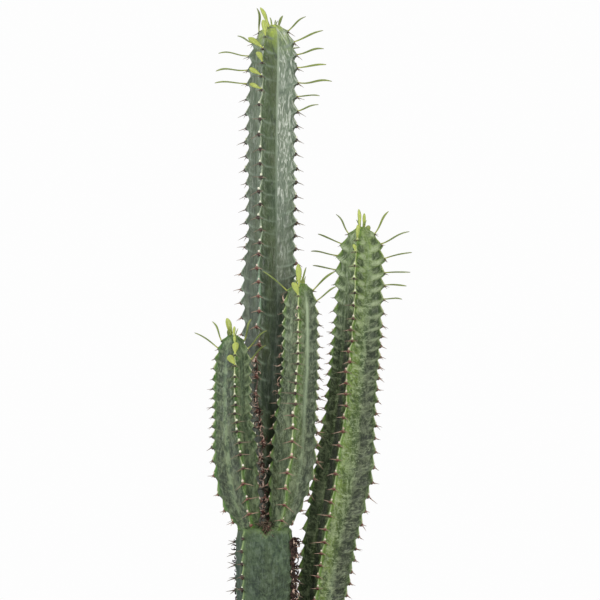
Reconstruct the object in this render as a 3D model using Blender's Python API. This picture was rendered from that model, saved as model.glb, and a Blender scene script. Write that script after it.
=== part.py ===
"""A potted columnar euphorbia: a trunk that forks into three shoots, and a second stem beside it.

All five stems are four-ribbed, with a row of hooked teeth along every rib. Each tooth carries a pair
of spines, and the youngest teeth carry leaves. The stems stand in soil in a plain clay pot.
The origin is the centre of the pot's underside, +Z is up and the front of the plant faces -Y.
"""

import math
import random

import bmesh
import bpy
import numpy as np
from mathutils import Vector

MM = 0.001
GAP = 0.3 * MM  # between two pieces that touch

# The pot, a turned clay pot with a band round its rim
POT_HEIGHT = 230 * MM
POT_FOOT_RADIUS = 95 * MM
POT_FOOT_BEVEL = 3 * MM
POT_WALL = 8 * MM
POT_FLOOR = 12 * MM
POT_BAND_HEIGHT = 48 * MM
POT_NECK_RADIUS = 121 * MM  # of the wall's outer face, where it meets the band
POT_BAND_RADIUS = 130 * MM
POT_BAND_ROUND = 3.5 * MM
POT_SEGMENTS = 40
POT_SHARP_ANGLE = 40
DRAIN_HOLES = 3
DRAIN_RADIUS = 6 * MM
DRAIN_RING_RADIUS = 45 * MM
DRAIN_SEGMENTS = 12

# Heights that the tables of the stems share, in millimetres
SOIL_LEVEL = 205
ROOTED_FOOT = 209  # where a rooted stem's ribs begin, just above the soil
TRUNK_TOP_LEVEL = 392
SHOOT_FOOT = 392.3  # where a shoot begins, a gap above the trunk

# The soil, filled to a little below the rim
SOIL_HEIGHT = SOIL_LEVEL * MM
SOIL_RING_SHARES = (0.94, 0.8, 0.62, 0.4, 0.18)  # of the soil's radius, outermost first
SOIL_UNEVEN = 1.4 * MM
SOIL_SHARP_ANGLE = 60

# The stems' plain roots, in holes in the soil and in sockets in the flat top of the trunk
ROOT_FLOOR = SOIL_HEIGHT - 55 * MM
SOCKET_FLOOR = TRUNK_TOP_LEVEL * MM - 12 * MM
HOLE_SEGMENTS = 32
HOLE_HEADROOM = 8 * MM  # of a hole's cutter above the surface that it opens

# Every stem has four ribs, numbered from the one at the front towards the right
RIBS = 4
RIB_TURN = math.tau / RIBS
VALLEY_CLEAR_OF_TIP = 4 * MM
TOOTH_SHARE = 0.13  # height of a tooth, of the radius over the teeth
TOOTH_OF_RIB = 0.33  # and at most this share of the rib's height over the valleys
TOOTH_VARIES = 0.12
SPACING_VARIES = 0.06
FIRST_TOOTH = 0.42  # spacings below the tip
LOWEST_TOOTH = 0.6  # spacings above the foot
LOWEST_VALLEY_POINT = 0.8
STEEPEST_SLOPE = 1.7  # spacings of a tooth, of its distance below the tip

# A tooth from its notch upward: how far up the rib each point lies, in spacings from the tip of the
# tooth, and how deep it lies under the radius over the teeth, in heights of the tooth
NOTCH_UP = -0.12
SHIELD_UP = -0.06
CHEEK_UP = -0.03
SLOPE_UP = 0.40
FLANK_UP = 0.42
SLOPE_ABOVE = 0.45  # real height of the slope's and the flank's points, in spacings
NOTCH_DROP = 0.75  # real drops below the tooth, in heights of the tooth
SHIELD_DROP = 0.42
CHEEK_DROP = 0.10
TIP_DROP = 0.05
SHIELD_DEPTH = 0.40
CHEEK_DEPTH = 0.42
CHEEK_ASIDE = 0.40
SLOPE_DEPTH = 0.80
FLANK_DEPTH = 1.50
FLANK_ASIDE = 1.00
LONGEST_DROP = 0.30  # of the spacing, on crowded young teeth

SPINE_LENGTH = 10 * MM
YOUNG_SPINE_SHARE = 0.5  # of the full length, at the tip of a stem
YOUNG_STEM_LENGTH = 140 * MM  # over which the spines grow to their full length
SPINELESS_TIP = 7 * MM
SPINE_SPREAD = (0.36, 0.86, -0.36)  # outward, sideways and upward
SPINE_SPREAD_VARIES = 0.18
SPINE_LENGTHS = (0.8, 1.15)  # of the length for its age
SPINE_SWINGS = (0, 0.5, 1)  # tried in turn, from straight aside to outward
SPINE_CUTS = (1, 0.75, 0.5)
SPINE_CLEARANCE = 1.2 * MM
STEM_SHARP_ANGLE = 35
LEAF_WIDTH = 7.5 * MM
LEAF_THICKNESS = 1.4 * MM
LEAF_SEAT = 0.2  # of the way from a tooth's tip to the slope above it
LEAF_ARCH = 0.12  # of its length, that a leaf curls towards its upper face
LEAF_SECTIONS = ((0.14, 0.32, 1.0), (0.5, 0.85, 0.9), (0.82, 0.8, 0.7))  # shares: along, wide, thick

# Rows of a stem, from its foot to its tip, in millimetres and degrees:
# height, axis x, axis y, radius over the teeth, radius in the valleys, tooth spacing, turn of the ribs
TRUNK_ROWS = (
    (ROOTED_FOOT, -28, 2, 30, 29, 15, -38),
    (225, -28, 2, 34, 29.5, 15, -38),
    (250, -28, 1, 40, 29.5, 15, -38),
    (300, -28, 0, 45, 30, 15.5, -38),
    (350, -28, 0, 46, 30.5, 15.5, -38),
    (376, -28, 0, 46, 31, 15.5, -38),
    (TRUNK_TOP_LEVEL, -28, 0, 43, 31, 15.5, -38),
)
TALL_ROWS = (
    (SHOOT_FOOT, -20, 14, 20, 15, 14, -17),
    (420, -20.5, 16, 24, 15, 16, -18),
    (460, -21.5, 18.5, 28, 16, 18, -18),
    (505, -24.5, 20, 32, 18.5, 19, -14),
    (560, -27.3, 20, 35, 20, 20, -21),
    (640, -23.5, 20, 36, 21, 21, -20),
    (680, -22, 20, 38.5, 22, 20, -19.5),
    (717, -22.3, 20, 38, 21.5, 17, -22),
    (742, -20.5, 20, 36, 20, 16, -24),
    (805, -20, 20, 35.3, 19, 16.5, -24),
    (867, -19.9, 20, 35.7, 19, 17.5, -24),
    (930, -19, 20, 35.5, 19, 18.5, -24),
    (970, -17.8, 20, 34.8, 19, 18, -24),
    (988, -17.5, 20, 33, 18.3, 17, -24),
    (1005, -17, 20, 28.5, 15.6, 16, -24),
    (1018, -17, 20, 20, 10.8, 13.5, -24),
    (1025, -17, 20, 9.5, 5.4, 8, -24),
)
ARM_LEFT_ROWS = (
    (SHOOT_FOOT, -46, -19, 13, 11, 11, 15),
    (405, -49, -20.5, 17.5, 12, 14, 15),
    (417, -52.5, -22, 22, 13, 16, 15),
    (432, -57.2, -23.5, 26, 14.8, 18, 16),
    (450, -61.5, -25.5, 28.5, 16.3, 19, 18),
    (480, -64, -27.5, 30.3, 17.3, 19, 18),
    (505, -65.5, -28.5, 29.3, 16.8, 15, 14),
    (530, -67.6, -29, 26, 15.2, 12, 11),
    (560, -68, -30, 25, 14.6, 11, 9),
    (590, -67.7, -30, 24.5, 14.2, 12.5, 9),
    (610, -67.2, -30, 22.5, 12.9, 13, 9),
    (622, -67.2, -30, 18.3, 10.2, 12, 9),
    (631, -67.2, -30, 14, 7.9, 9.5, 9),
    (636, -67.2, -30, 7.5, 4.3, 6.5, 9),
)
ARM_RIGHT_ROWS = (
    (SHOOT_FOOT, -13, -17.5, 12, 10, 12, -8),
    (405, -8.5, -19.5, 15.5, 11.5, 14, -5),
    (417, -4.5, -22, 19.5, 12.5, 16, -4),
    (432, -0.5, -24, 23.5, 14, 18.5, -5),
    (450, 3, -26, 27.5, 16, 20, -10),
    (480, 8, -29, 30.5, 17.5, 20, -10),
    (517, 9.8, -31, 28.8, 16.6, 17.5, -6),
    (560, 14, -32.4, 26.2, 15.2, 13.5, -10),
    (590, 16.4, -33.2, 24.7, 14.6, 12, -10),
    (640, 17, -34, 23.7, 13.8, 13.5, -8),
    (665, 17, -34, 22.8, 13.1, 14.5, -8),
    (680, 16.8, -34, 20.5, 11.6, 14.5, -8),
    (692, 16.5, -34, 17, 9.6, 12.5, -8),
    (700, 16.5, -34, 9.5, 5.4, 8.5, -8),
)
STEM_RIGHT_ROWS = (
    (ROOTED_FOOT, 33, 14, 17, 16, 13, -15),
    (228, 34, 14, 20, 16, 13, -15),
    (255, 37, 13, 26, 16.5, 13.5, -15),
    (305, 43, 12, 32.5, 18.5, 14, -15),
    (355, 50.2, 11, 35, 20, 14.5, -15),
    (405, 58.7, 10, 37.5, 21, 16, -15),
    (430, 64.3, 10, 38.5, 21.5, 17, -15),
    (455, 68.8, 10, 39.9, 22, 17.5, -15),
    (480, 72.8, 10, 39.6, 22, 18, -15),
    (530, 78, 10, 35.2, 20.3, 16.5, -15),
    (580, 83, 10, 33.5, 19.5, 14, -15),
    (640, 88, 10, 32.5, 18.8, 13, -15),
    (665, 89.8, 10, 32.2, 18.6, 14.5, -15),
    (690, 91, 10, 31.8, 18.4, 17, -15),
    (718, 92, 10, 31.5, 18.2, 16.5, -15),
    (736, 93, 10, 30, 17, 17, -15),
    (752, 93.3, 10, 25.3, 14.2, 16, -15),
    (765, 93.5, 10, 16, 9, 12.5, -15),
    (771, 93.5, 10, 7.5, 4.4, 8, -15),
)

# Leaves on each rib, from its topmost tooth downward: length in millimetres, then lift and lean to
# the rib's own right in degrees
TALL_LEAVES = (
    ((27, 66, -60), (20, 80, -20), (23, 30, -45), (16, 45, -10), (18, 22, -45), (17, 16, -45)),
    ((30, 34, 0), (43, 17, 0), (37, 10, 4), (42, 3, -5), (46, 1, 3), (32, 0, 0), (30, 14, -4)),
    ((18, 68, -30), (30, 22, 6), (40, 10, -6), (42, 4, 4), (38, 0, 0)),
    ((30, 84, 0), (24, 22, 0), (42, 3, 4), (46, -3, -3), (45, -1, 2)),
)
ARM_LEFT_LEAVES = (
    ((14, 84, 0), (11, 84, 0), (15, 74, 10), (17, 40, -50)),
    ((28, 70, 0), (33, 42, -6), (27, 42, 6)),
    ((25, 76, 70), (24, 50, 5), (26, 25, -5)),
    ((26, 63, 0), (36, 31, 4)),
)
ARM_RIGHT_LEAVES = (
    ((28, 84, 6), (18, 62, -32)),
    ((36, 38, -4), (31, 33, 5)),
    ((25, 76, -80), (28, 45, 8), (28, 25, -8)),
    ((39, 38, 6),),
)
STEM_RIGHT_LEAVES = (
    ((28, 86, 20), (18, 84, -10), (9, 66, -30)),
    ((33, 56, 0), (40, 22, -4), (36, 13, 4), (34, 2, 0), (29, -2, -4), (24, 0, 5)),
    ((20, 72, 0), (30, 35, 6), (34, 12, -6), (32, 3, 0)),
    ((29, 54, 0), (33, 20, 4), (37, 5, -4), (31, 6, 5)),
)
NO_LEAVES = ((), (), (), ())


class Stem:
    """Where a stem's axis runs and how its section changes, as smooth functions of the height."""

    def __init__(self, rows, leaves, seed, root_radius, root_floor, flat_top=False):
        table = np.array(rows, dtype=float)
        self.heights = table[:, 0] * MM
        self.columns = table[:, 1:].T * MM
        self.columns[-1] = np.radians(table[:, -1])
        self.leaves = leaves
        self.seed = seed
        self.root_radius = root_radius
        self.root_floor = root_floor
        self.flat_top = flat_top

    @property
    def foot(self):
        return self.heights[0]

    @property
    def tip(self):
        return self.heights[-1]

    def at(self, height):
        """x, y, radius over the teeth, radius in the valleys, tooth spacing and turn at a height."""
        height = min(max(height, self.foot), self.tip)
        row = int(np.clip(np.searchsorted(self.heights, height) - 1, 0, len(self.heights) - 2))
        step = self.heights[row + 1] - self.heights[row]
        share = (height - self.heights[row]) / step
        values = []
        for column in self.columns:
            slopes = np.gradient(column, self.heights) * step
            rise = column[row + 1] - column[row]
            ease = share * share * (3 - 2 * share)
            pull = share * (1 - share)
            values.append(
                column[row]
                + rise * ease
                + pull * ((1 - share) * slopes[row] - share * slopes[row + 1])
            )
        return values

    def axes(self, height):
        """The centre of the section at a height, its two cross directions and the way up the stem."""
        small = 2 * MM
        x, y = self.at(height)[:2]
        below = self.at(height - small)[:2]
        above = self.at(height + small)[:2]
        up = Vector((above[0] - below[0], above[1] - below[1], 2 * small)).normalized()
        across = (Vector((1, 0, 0)) - up * up.x).normalized()
        return Vector((x, y, height)), across, up.cross(across), up

    def directions(self, height, angle):
        """Outward, sideways and upward at an angle round the stem, which is 0 at the front."""
        _, across, back, up = self.axes(height)
        outward = across * math.sin(angle) - back * math.cos(angle)
        sideways = across * math.cos(angle) + back * math.sin(angle)
        return outward, sideways, up

    def point(self, height, angle, radial, aside=0.0):
        centre = self.axes(height)[0]
        outward, sideways, _ = self.directions(height, angle)
        return centre + outward * radial + sideways * aside

    def clearance(self, place):
        """How far a place lies outside the stem, whose faces are flat from each rib to the valleys."""
        if not self.root_floor <= place.z <= self.tip + SPINE_LENGTH:
            return math.inf
        x, y, over_teeth, in_valleys, _, turn = self.at(place.z)
        away_x, away_y = place.x - x, place.y - y
        angle = math.atan2(away_x, -away_y) - turn
        off_rib = abs((angle + RIB_TURN / 2) % RIB_TURN - RIB_TURN / 2)
        half = RIB_TURN / 2
        bend = (1 / in_valleys - math.cos(half) / over_teeth) / math.sin(half)
        surface = 1 / (math.cos(off_rib) / over_teeth + math.sin(off_rib) * bend)
        return math.hypot(away_x, away_y) - surface


def tooth_heights(stem, rib, dice):
    """Heights of a rib's teeth from the top down. Teeth on neighbouring ribs are half a step apart."""
    stagger = 0.5 * (rib % 2)
    spacing = stem.at(stem.tip)[4]
    height = stem.tip - spacing * (FIRST_TOOTH + stagger)
    lowest = stem.foot + LOWEST_TOOTH * stem.at(stem.foot)[4]
    heights = []
    while height > lowest:
        heights.append(height)
        height -= stem.at(height)[4] * dice.uniform(1 - SPACING_VARIES, 1 + SPACING_VARIES)
    return heights


class Mesh:
    """Vertices and triangles of one closed piece. A column is a list of (order, vertex) going up."""

    def __init__(self):
        self.points = []
        self.triangles = []

    def add(self, place):
        self.points.append(Vector(place))
        return len(self.points) - 1

    def zip_columns(self, left, right):
        """Triangles between two columns, each step going to the lower of the two next vertices."""
        i, j = 0, 0
        while i + 1 < len(left) or j + 1 < len(right):
            next_left = left[i + 1][0] if i + 1 < len(left) else math.inf
            next_right = right[j + 1][0] if j + 1 < len(right) else math.inf
            if next_left <= next_right:
                self.triangles.append((left[i][1], right[j][1], left[i + 1][1]))
                i += 1
            else:
                self.triangles.append((left[i][1], right[j][1], right[j + 1][1]))
                j += 1

    def take(self, *corners):
        """Removes the triangle with these corners and returns it with its winding."""
        wanted = set(corners)
        for number in range(len(self.triangles) - 1, -1, -1):
            if set(self.triangles[number]) == wanted:
                return self.triangles.pop(number)
        raise ValueError("no such triangle")

    def raise_point(self, triangle, place):
        """Raises a three-sided spike over a triangle."""
        spike = self.add(place)
        a, b, c = triangle
        self.triangles += [(a, b, spike), (b, c, spike), (c, a, spike)]

    def bridge(self, lower, upper):
        """Joins two loops of the same length."""
        for k in range(len(lower)):
            following = (k + 1) % len(lower)
            self.triangles.append((lower[k], lower[following], upper[following]))
            self.triangles.append((lower[k], upper[following], upper[k]))

    def to_object(self, name, material, sharp_angle):
        mesh = bpy.data.meshes.new(name)
        mesh.from_pydata([tuple(point) for point in self.points], [], self.triangles)
        mesh.validate()
        return add_object(name, mesh, material, sharp_angle)


def add_object(name, mesh, material, sharp_angle):
    mesh.materials.append(material)
    mesh.shade_smooth()
    mesh.set_sharp_from_angle(angle=math.radians(sharp_angle))
    piece = bpy.data.objects.new(name, mesh)
    bpy.context.scene.collection.objects.link(piece)
    return piece


def make_material(name, colour, roughness):
    material = bpy.data.materials.new(name)
    material.use_nodes = True
    shader = material.node_tree.nodes["Principled BSDF"]
    shader.inputs["Base Color"].default_value = (*colour, 1.0)
    shader.inputs["Roughness"].default_value = roughness
    shader.inputs["Metallic"].default_value = 0.0
    return material


def spine_place(stem, neighbours, root, height, angle, side, dice):
    """The tip of a spine, swung outward and shortened until it is clear of the other stems."""
    outward, sideways, up = stem.directions(height, angle)
    age = min((stem.tip - height) / YOUNG_STEM_LENGTH, 1)
    length = SPINE_LENGTH * (YOUNG_SPINE_SHARE + (1 - YOUNG_SPINE_SHARE) * age)
    length *= dice.uniform(*SPINE_LENGTHS)
    out_share, side_share, up_share = SPINE_SPREAD
    up_share += dice.uniform(-SPINE_SPREAD_VARIES, SPINE_SPREAD_VARIES)
    for swing in SPINE_SWINGS:
        heading = outward * (out_share + swing / 2) + up * up_share
        heading += sideways * side * side_share * (1 - swing / 2)
        heading.normalize()
        for shorter in SPINE_CUTS:
            place = root + heading * length * shorter
            own = max(stem.clearance(place), 0)
            if all(other.clearance(place) > own + SPINE_CLEARANCE for other in neighbours):
                return place
    return None


def grow_leaf(mesh, stem, tooth, height, angle, length, lift, lean):
    """A flat leaf that leaves the rib just above a tooth's tip, in sections of four corners."""
    outward, sideways, up = stem.directions(height, angle)
    level = outward * math.cos(lean) + sideways * math.sin(lean)
    sideways = sideways * math.cos(lean) - outward * math.sin(lean)
    heading = level * math.cos(lift) + up * math.sin(lift)
    face = up * math.cos(lift) - level * math.sin(lift)
    start = mesh.points[tooth["tip"]].lerp(mesh.points[tooth["slope"]], LEAF_SEAT)
    mesh.take(tooth["tip"], tooth["slope"], tooth["shoulders"][1])
    mesh.take(tooth["tip"], tooth["slope"], tooth["shoulders"][-1])
    loop = [tooth["tip"], tooth["shoulders"][1], tooth["slope"], tooth["shoulders"][-1]]
    half_width = LEAF_WIDTH / 2
    half_thickness = LEAF_THICKNESS / 2
    for along, width, thickness in LEAF_SECTIONS:
        centre = start + heading * length * along + face * length * LEAF_ARCH * along * along
        section = [
            mesh.add(centre - face * half_thickness * thickness),
            mesh.add(centre + sideways * half_width * width),
            mesh.add(centre + face * half_thickness * thickness),
            mesh.add(centre - sideways * half_width * width),
        ]
        mesh.bridge(loop, section)
        loop = section
    point = mesh.add(start + heading * length + face * length * LEAF_ARCH)
    for k, corner in enumerate(loop):
        mesh.triangles.append((corner, loop[(k + 1) % len(loop)], point))


def grow_rib(mesh, stem, rib, dice):
    """The crest and the two shoulders of a rib, with its teeth. Returns the columns and the teeth."""
    crest, shoulders, teeth = [], {-1: [], 1: []}, []
    for height in reversed(tooth_heights(stem, rib, dice)):
        spacing = min(stem.at(height)[4], STEEPEST_SLOPE * (stem.tip - height))
        radius, in_valleys, _, turn = stem.at(height)[2:]
        angle = turn + rib * RIB_TURN
        size = min(radius * TOOTH_SHARE, (radius - in_valleys) * TOOTH_OF_RIB)
        size *= dice.uniform(1 - TOOTH_VARIES, 1 + TOOTH_VARIES)
        drop = min(size, LONGEST_DROP * spacing)
        notch = mesh.add(stem.point(height - NOTCH_DROP * drop, angle, radius - size))
        shield = mesh.add(stem.point(height - SHIELD_DROP * drop, angle, radius - SHIELD_DEPTH * size))
        tip = mesh.add(stem.point(height - TIP_DROP * drop, angle, radius))
        above = height + SLOPE_ABOVE * spacing
        over_slope = min(radius, stem.at(above)[2])
        slope = mesh.add(stem.point(above, angle, over_slope - SLOPE_DEPTH * size))
        crest += [
            (height + NOTCH_UP * spacing, notch),
            (height + SHIELD_UP * spacing, shield),
            (height, tip),
            (height + SLOPE_UP * spacing, slope),
        ]
        tooth = {"tip": tip, "shield": shield, "slope": slope, "shoulders": {}}
        for side, column in shoulders.items():
            aside = side * size
            cheek = stem.point(
                height - CHEEK_DROP * drop, angle, radius - CHEEK_DEPTH * size, CHEEK_ASIDE * aside
            )
            cheek = mesh.add(cheek)
            flank = mesh.add(stem.point(above, angle, over_slope - FLANK_DEPTH * size, FLANK_ASIDE * aside))
            column += [(height + CHEEK_UP * spacing, cheek), (height + FLANK_UP * spacing, flank)]
            tooth["shoulders"][side] = cheek
        teeth.append((height, angle, tooth))
    return crest, shoulders, teeth


def grow_stem(name, stem, neighbours, material):
    """One closed ribbed solid: root, ribs with teeth, spines and leaves, and a domed or flat top."""
    dice = random.Random(stem.seed)
    mesh = Mesh()
    columns, teeth_of_ribs = [], []
    for rib in range(RIBS):
        crest, shoulders, teeth = grow_rib(mesh, stem, rib, dice)
        valley = []
        height = stem.foot + LOWEST_VALLEY_POINT * stem.at(stem.foot)[4]
        while height < stem.tip - VALLEY_CLEAR_OF_TIP:
            in_valleys, spacing, turn = stem.at(height)[3:]
            valley.append((height, mesh.add(stem.point(height, turn + (rib + 0.5) * RIB_TURN, in_valleys))))
            height += spacing
        columns += [shoulders[-1], crest, shoulders[1], valley]
        teeth_of_ribs.append(teeth)

    foot_x, foot_y, _, _, _, foot_turn = stem.at(stem.foot)
    for number, column in enumerate(columns):
        off_front = (number - 1) * math.tau / len(columns)  # the second column is the front rib's crest
        angle = foot_turn + off_front
        x = foot_x + stem.root_radius * math.sin(angle)
        y = foot_y - stem.root_radius * math.cos(angle)
        root = [(height, mesh.add((x, y, height))) for height in (stem.root_floor, stem.foot)]
        column[:0] = root
        if stem.flat_top:
            radius, in_valleys, _, turn = stem.at(stem.tip)[2:]
            in_a_valley = number % RIBS == RIBS - 1
            reach = in_valleys if in_a_valley else radius * (1 - TOOTH_SHARE)
            column.append((stem.tip, mesh.add(stem.point(stem.tip, turn + off_front, reach))))

    for number, column in enumerate(columns):
        mesh.zip_columns(column, columns[(number + 1) % len(columns)])
    bottom = mesh.add((foot_x, foot_y, stem.root_floor))
    top = mesh.add(stem.axes(stem.tip)[0])
    for number, column in enumerate(columns):
        following = columns[(number + 1) % len(columns)]
        mesh.triangles.append((following[0][1], column[0][1], bottom))
        mesh.triangles.append((column[-1][1], following[-1][1], top))

    for rib, teeth in enumerate(teeth_of_ribs):
        for place_from_top, (height, angle, tooth) in enumerate(reversed(teeth)):
            if place_from_top < len(stem.leaves[rib]):
                length, lift, lean = stem.leaves[rib][place_from_top]
                grow_leaf(
                    mesh, stem, tooth, height, angle, length * MM, math.radians(lift), math.radians(lean)
                )
            for side in (-1, 1):
                corners = (tooth["shield"], tooth["tip"], tooth["shoulders"][side])
                root = sum((mesh.points[corner] for corner in corners), Vector()) / len(corners)
                place = spine_place(stem, neighbours, root, height, angle, side, dice)
                if place and stem.tip - height > SPINELESS_TIP:
                    mesh.raise_point(mesh.take(*corners), place)
    return mesh.to_object(name, material, STEM_SHARP_ANGLE)


def turned(profile, segments, name, material, sharp_angle):
    """A solid of revolution. The profile goes from the axis out, up and back to the axis."""
    mesh = Mesh()
    rings = []
    for radius, height in profile[1:-1]:
        ring = []
        for k in range(segments):
            angle = math.tau * k / segments
            ring.append(mesh.add((radius * math.cos(angle), radius * math.sin(angle), height)))
        rings.append(ring)
    for lower, upper in zip(rings, rings[1:]):
        mesh.bridge(lower, upper)
    bottom = mesh.add((0, 0, profile[0][1]))
    top = mesh.add((0, 0, profile[-1][1]))
    for k in range(segments):
        following = (k + 1) % segments
        mesh.triangles.append((rings[0][following], rings[0][k], bottom))
        mesh.triangles.append((rings[-1][k], rings[-1][following], top))
    return mesh.to_object(name, material, sharp_angle)


def arc(centre_radius, centre_height, radius, start, end, steps):
    """Points of a profile round a corner, between two angles in degrees."""
    points = []
    for k in range(steps + 1):
        angle = math.radians(start + (end - start) * k / steps)
        points.append((centre_radius + radius * math.cos(angle), centre_height + radius * math.sin(angle)))
    return points


def wall_radius(height):
    """The outer face of the pot's tapered wall."""
    rise = POT_HEIGHT - POT_BAND_HEIGHT
    return POT_FOOT_RADIUS + (POT_NECK_RADIUS - POT_FOOT_RADIUS) * height / rise


def inner_radius(height):
    return wall_radius(height) - POT_WALL


def cutter_cylinder(name, x, y, low, high, radius, segments=HOLE_SEGMENTS):
    mesh = bpy.data.meshes.new(name)
    shape = bmesh.new()
    reach = radius / math.cos(math.pi / segments)  # the flats clear the radius
    bmesh.ops.create_cone(
        shape, cap_ends=True, segments=segments, radius1=reach, radius2=reach, depth=high - low
    )
    shape.to_mesh(mesh)
    shape.free()
    cutter = bpy.data.objects.new(name, mesh)
    cutter.location = (x, y, (low + high) / 2)
    cutter.hide_render = True
    cutter.display_type = "WIRE"
    bpy.context.scene.collection.objects.link(cutter)
    return cutter


def cut(piece, cutter):
    modifier = piece.modifiers.new(cutter.name, "BOOLEAN")
    modifier.operation = "DIFFERENCE"
    modifier.object = cutter


def make_pot(material):
    band_low = POT_HEIGHT - POT_BAND_HEIGHT
    band_inner = POT_BAND_RADIUS - 2 * POT_BAND_ROUND - POT_WALL / 2
    profile = [(0, 0), (POT_FOOT_RADIUS - POT_FOOT_BEVEL, 0), (wall_radius(POT_FOOT_BEVEL), POT_FOOT_BEVEL)]
    profile.append((POT_NECK_RADIUS, band_low))
    edge = POT_BAND_RADIUS - POT_BAND_ROUND
    profile += arc(edge, band_low + POT_BAND_ROUND, POT_BAND_ROUND, -90, 0, 2)
    profile += arc(edge, POT_HEIGHT - POT_BAND_ROUND, POT_BAND_ROUND, 0, 90, 2)
    profile += arc(band_inner + POT_BAND_ROUND, POT_HEIGHT - POT_BAND_ROUND, POT_BAND_ROUND, 90, 180, 2)
    profile += [(inner_radius(band_low), band_low), (inner_radius(POT_FLOOR), POT_FLOOR), (0, POT_FLOOR)]
    pot = turned(profile, POT_SEGMENTS, "pot", material, POT_SHARP_ANGLE)
    for k in range(DRAIN_HOLES):
        angle = math.tau * (k + 0.5) / DRAIN_HOLES
        x, y = DRAIN_RING_RADIUS * math.cos(angle), DRAIN_RING_RADIUS * math.sin(angle)
        cut(pot, cutter_cylinder(f"drain_{k}", x, y, -POT_FLOOR, 2 * POT_FLOOR, DRAIN_RADIUS, DRAIN_SEGMENTS))
    return pot


def make_soil(material, planted):
    band_low = POT_HEIGHT - POT_BAND_HEIGHT
    band_inner = POT_BAND_RADIUS - 2 * POT_BAND_ROUND - POT_WALL / 2
    rise = (SOIL_HEIGHT - band_low) / (POT_HEIGHT - POT_BAND_ROUND - band_low)
    surface_radius = inner_radius(band_low) + (band_inner - inner_radius(band_low)) * rise - GAP
    low = POT_FLOOR + GAP
    profile = [(0, low), (inner_radius(low) - GAP, low), (inner_radius(band_low) - GAP, band_low)]
    profile.append((surface_radius, SOIL_HEIGHT))
    profile += [(surface_radius * share, SOIL_HEIGHT) for share in SOIL_RING_SHARES]
    profile.append((0, SOIL_HEIGHT))
    soil = turned(profile, POT_SEGMENTS, "soil", material, SOIL_SHARP_ANGLE)
    for vertex in soil.data.vertices:
        place = vertex.co
        distance = math.hypot(place.x, place.y)
        if place.z > SOIL_HEIGHT - GAP and distance < surface_radius - GAP:
            angle = math.atan2(place.y, place.x)
            wave = math.sin(3 * angle + 70 * distance) + math.sin(7 * angle - 110 * distance)
            place.z += SOIL_UNEVEN * wave / 2
    for name, stem in planted.items():
        x, y = stem.at(stem.foot)[:2]
        hole = cutter_cylinder(
            f"hole_{name}", x, y, stem.root_floor - GAP, stem.foot + HOLE_HEADROOM, stem.root_radius + GAP
        )
        cut(soil, hole)
    return soil


def main():
    for leftover in list(bpy.data.objects):
        bpy.data.objects.remove(leftover, do_unlink=True)

    clay = make_material("terracotta", (0.48, 0.21, 0.12), 0.85)
    earth = make_material("potting_soil", (0.045, 0.03, 0.02), 0.95)
    old_skin = make_material("trunk_skin", (0.07, 0.13, 0.07), 0.55)
    green_skin = make_material("stem_skin", (0.06, 0.16, 0.06), 0.5)

    stems = {
        "trunk": Stem(TRUNK_ROWS, NO_LEAVES, 11, 29 * MM, ROOT_FLOOR, flat_top=True),
        "stem_tall": Stem(TALL_ROWS, TALL_LEAVES, 12, 10 * MM, SOCKET_FLOOR),
        "arm_left": Stem(ARM_LEFT_ROWS, ARM_LEFT_LEAVES, 13, 8 * MM, SOCKET_FLOOR),
        "arm_right": Stem(ARM_RIGHT_ROWS, ARM_RIGHT_LEAVES, 14, 8 * MM, SOCKET_FLOOR),
        "stem_right": Stem(STEM_RIGHT_ROWS, STEM_RIGHT_LEAVES, 15, 16 * MM, ROOT_FLOOR),
    }
    pieces = {}
    for name, stem in stems.items():
        neighbours = [other for other in stems.values() if other is not stem]
        skin = old_skin if stem.flat_top else green_skin
        pieces[name] = grow_stem(name, stem, neighbours, skin)

    for name in ("stem_tall", "arm_left", "arm_right"):
        shoot = stems[name]
        x, y = shoot.at(shoot.foot)[:2]
        socket = cutter_cylinder(
            f"socket_{name}", x, y, SOCKET_FLOOR - GAP, shoot.foot + HOLE_HEADROOM, shoot.root_radius + GAP
        )
        cut(pieces["trunk"], socket)

    make_pot(clay)
    make_soil(earth, {"trunk": stems["trunk"], "stem_right": stems["stem_right"]})


main()
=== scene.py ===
"""The looks of a potted columnar euphorbia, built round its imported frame.

Every stem gets a fine skin with hooked teeth, dark horny shields, cream buds, curved pairs of spines
and fleshy leaves. The pot gets a turned surface and the soil its grains. Lengths are in metres where
no comment says millimetres.
"""

import math
import random
from types import SimpleNamespace

import bmesh
import bpy
import numpy as np
from mathutils import Euler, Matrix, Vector, noise


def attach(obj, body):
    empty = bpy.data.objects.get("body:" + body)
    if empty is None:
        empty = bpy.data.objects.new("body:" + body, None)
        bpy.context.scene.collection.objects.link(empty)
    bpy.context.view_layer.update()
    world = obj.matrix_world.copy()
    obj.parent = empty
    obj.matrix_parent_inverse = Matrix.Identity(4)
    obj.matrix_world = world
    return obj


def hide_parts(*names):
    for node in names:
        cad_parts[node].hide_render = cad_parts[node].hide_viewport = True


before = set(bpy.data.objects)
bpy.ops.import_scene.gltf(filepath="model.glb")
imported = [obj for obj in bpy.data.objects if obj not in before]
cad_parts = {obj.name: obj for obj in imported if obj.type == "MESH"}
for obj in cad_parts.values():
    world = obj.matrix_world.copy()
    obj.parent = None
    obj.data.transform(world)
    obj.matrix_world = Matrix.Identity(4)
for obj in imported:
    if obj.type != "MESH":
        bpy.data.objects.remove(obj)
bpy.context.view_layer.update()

MM = 0.001
BODY = "root"

# Heights that the tables of the stems share, in millimetres
SOIL_LEVEL = 205
ROOTED_FOOT = 209
TRUNK_TOP_LEVEL = 392
SHOOT_FOOT = 392.3
SOIL_HEIGHT = SOIL_LEVEL * MM
ROOT_FLOOR = SOIL_HEIGHT - 55 * MM
SOCKET_FLOOR = TRUNK_TOP_LEVEL * MM - 12 * MM

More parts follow.
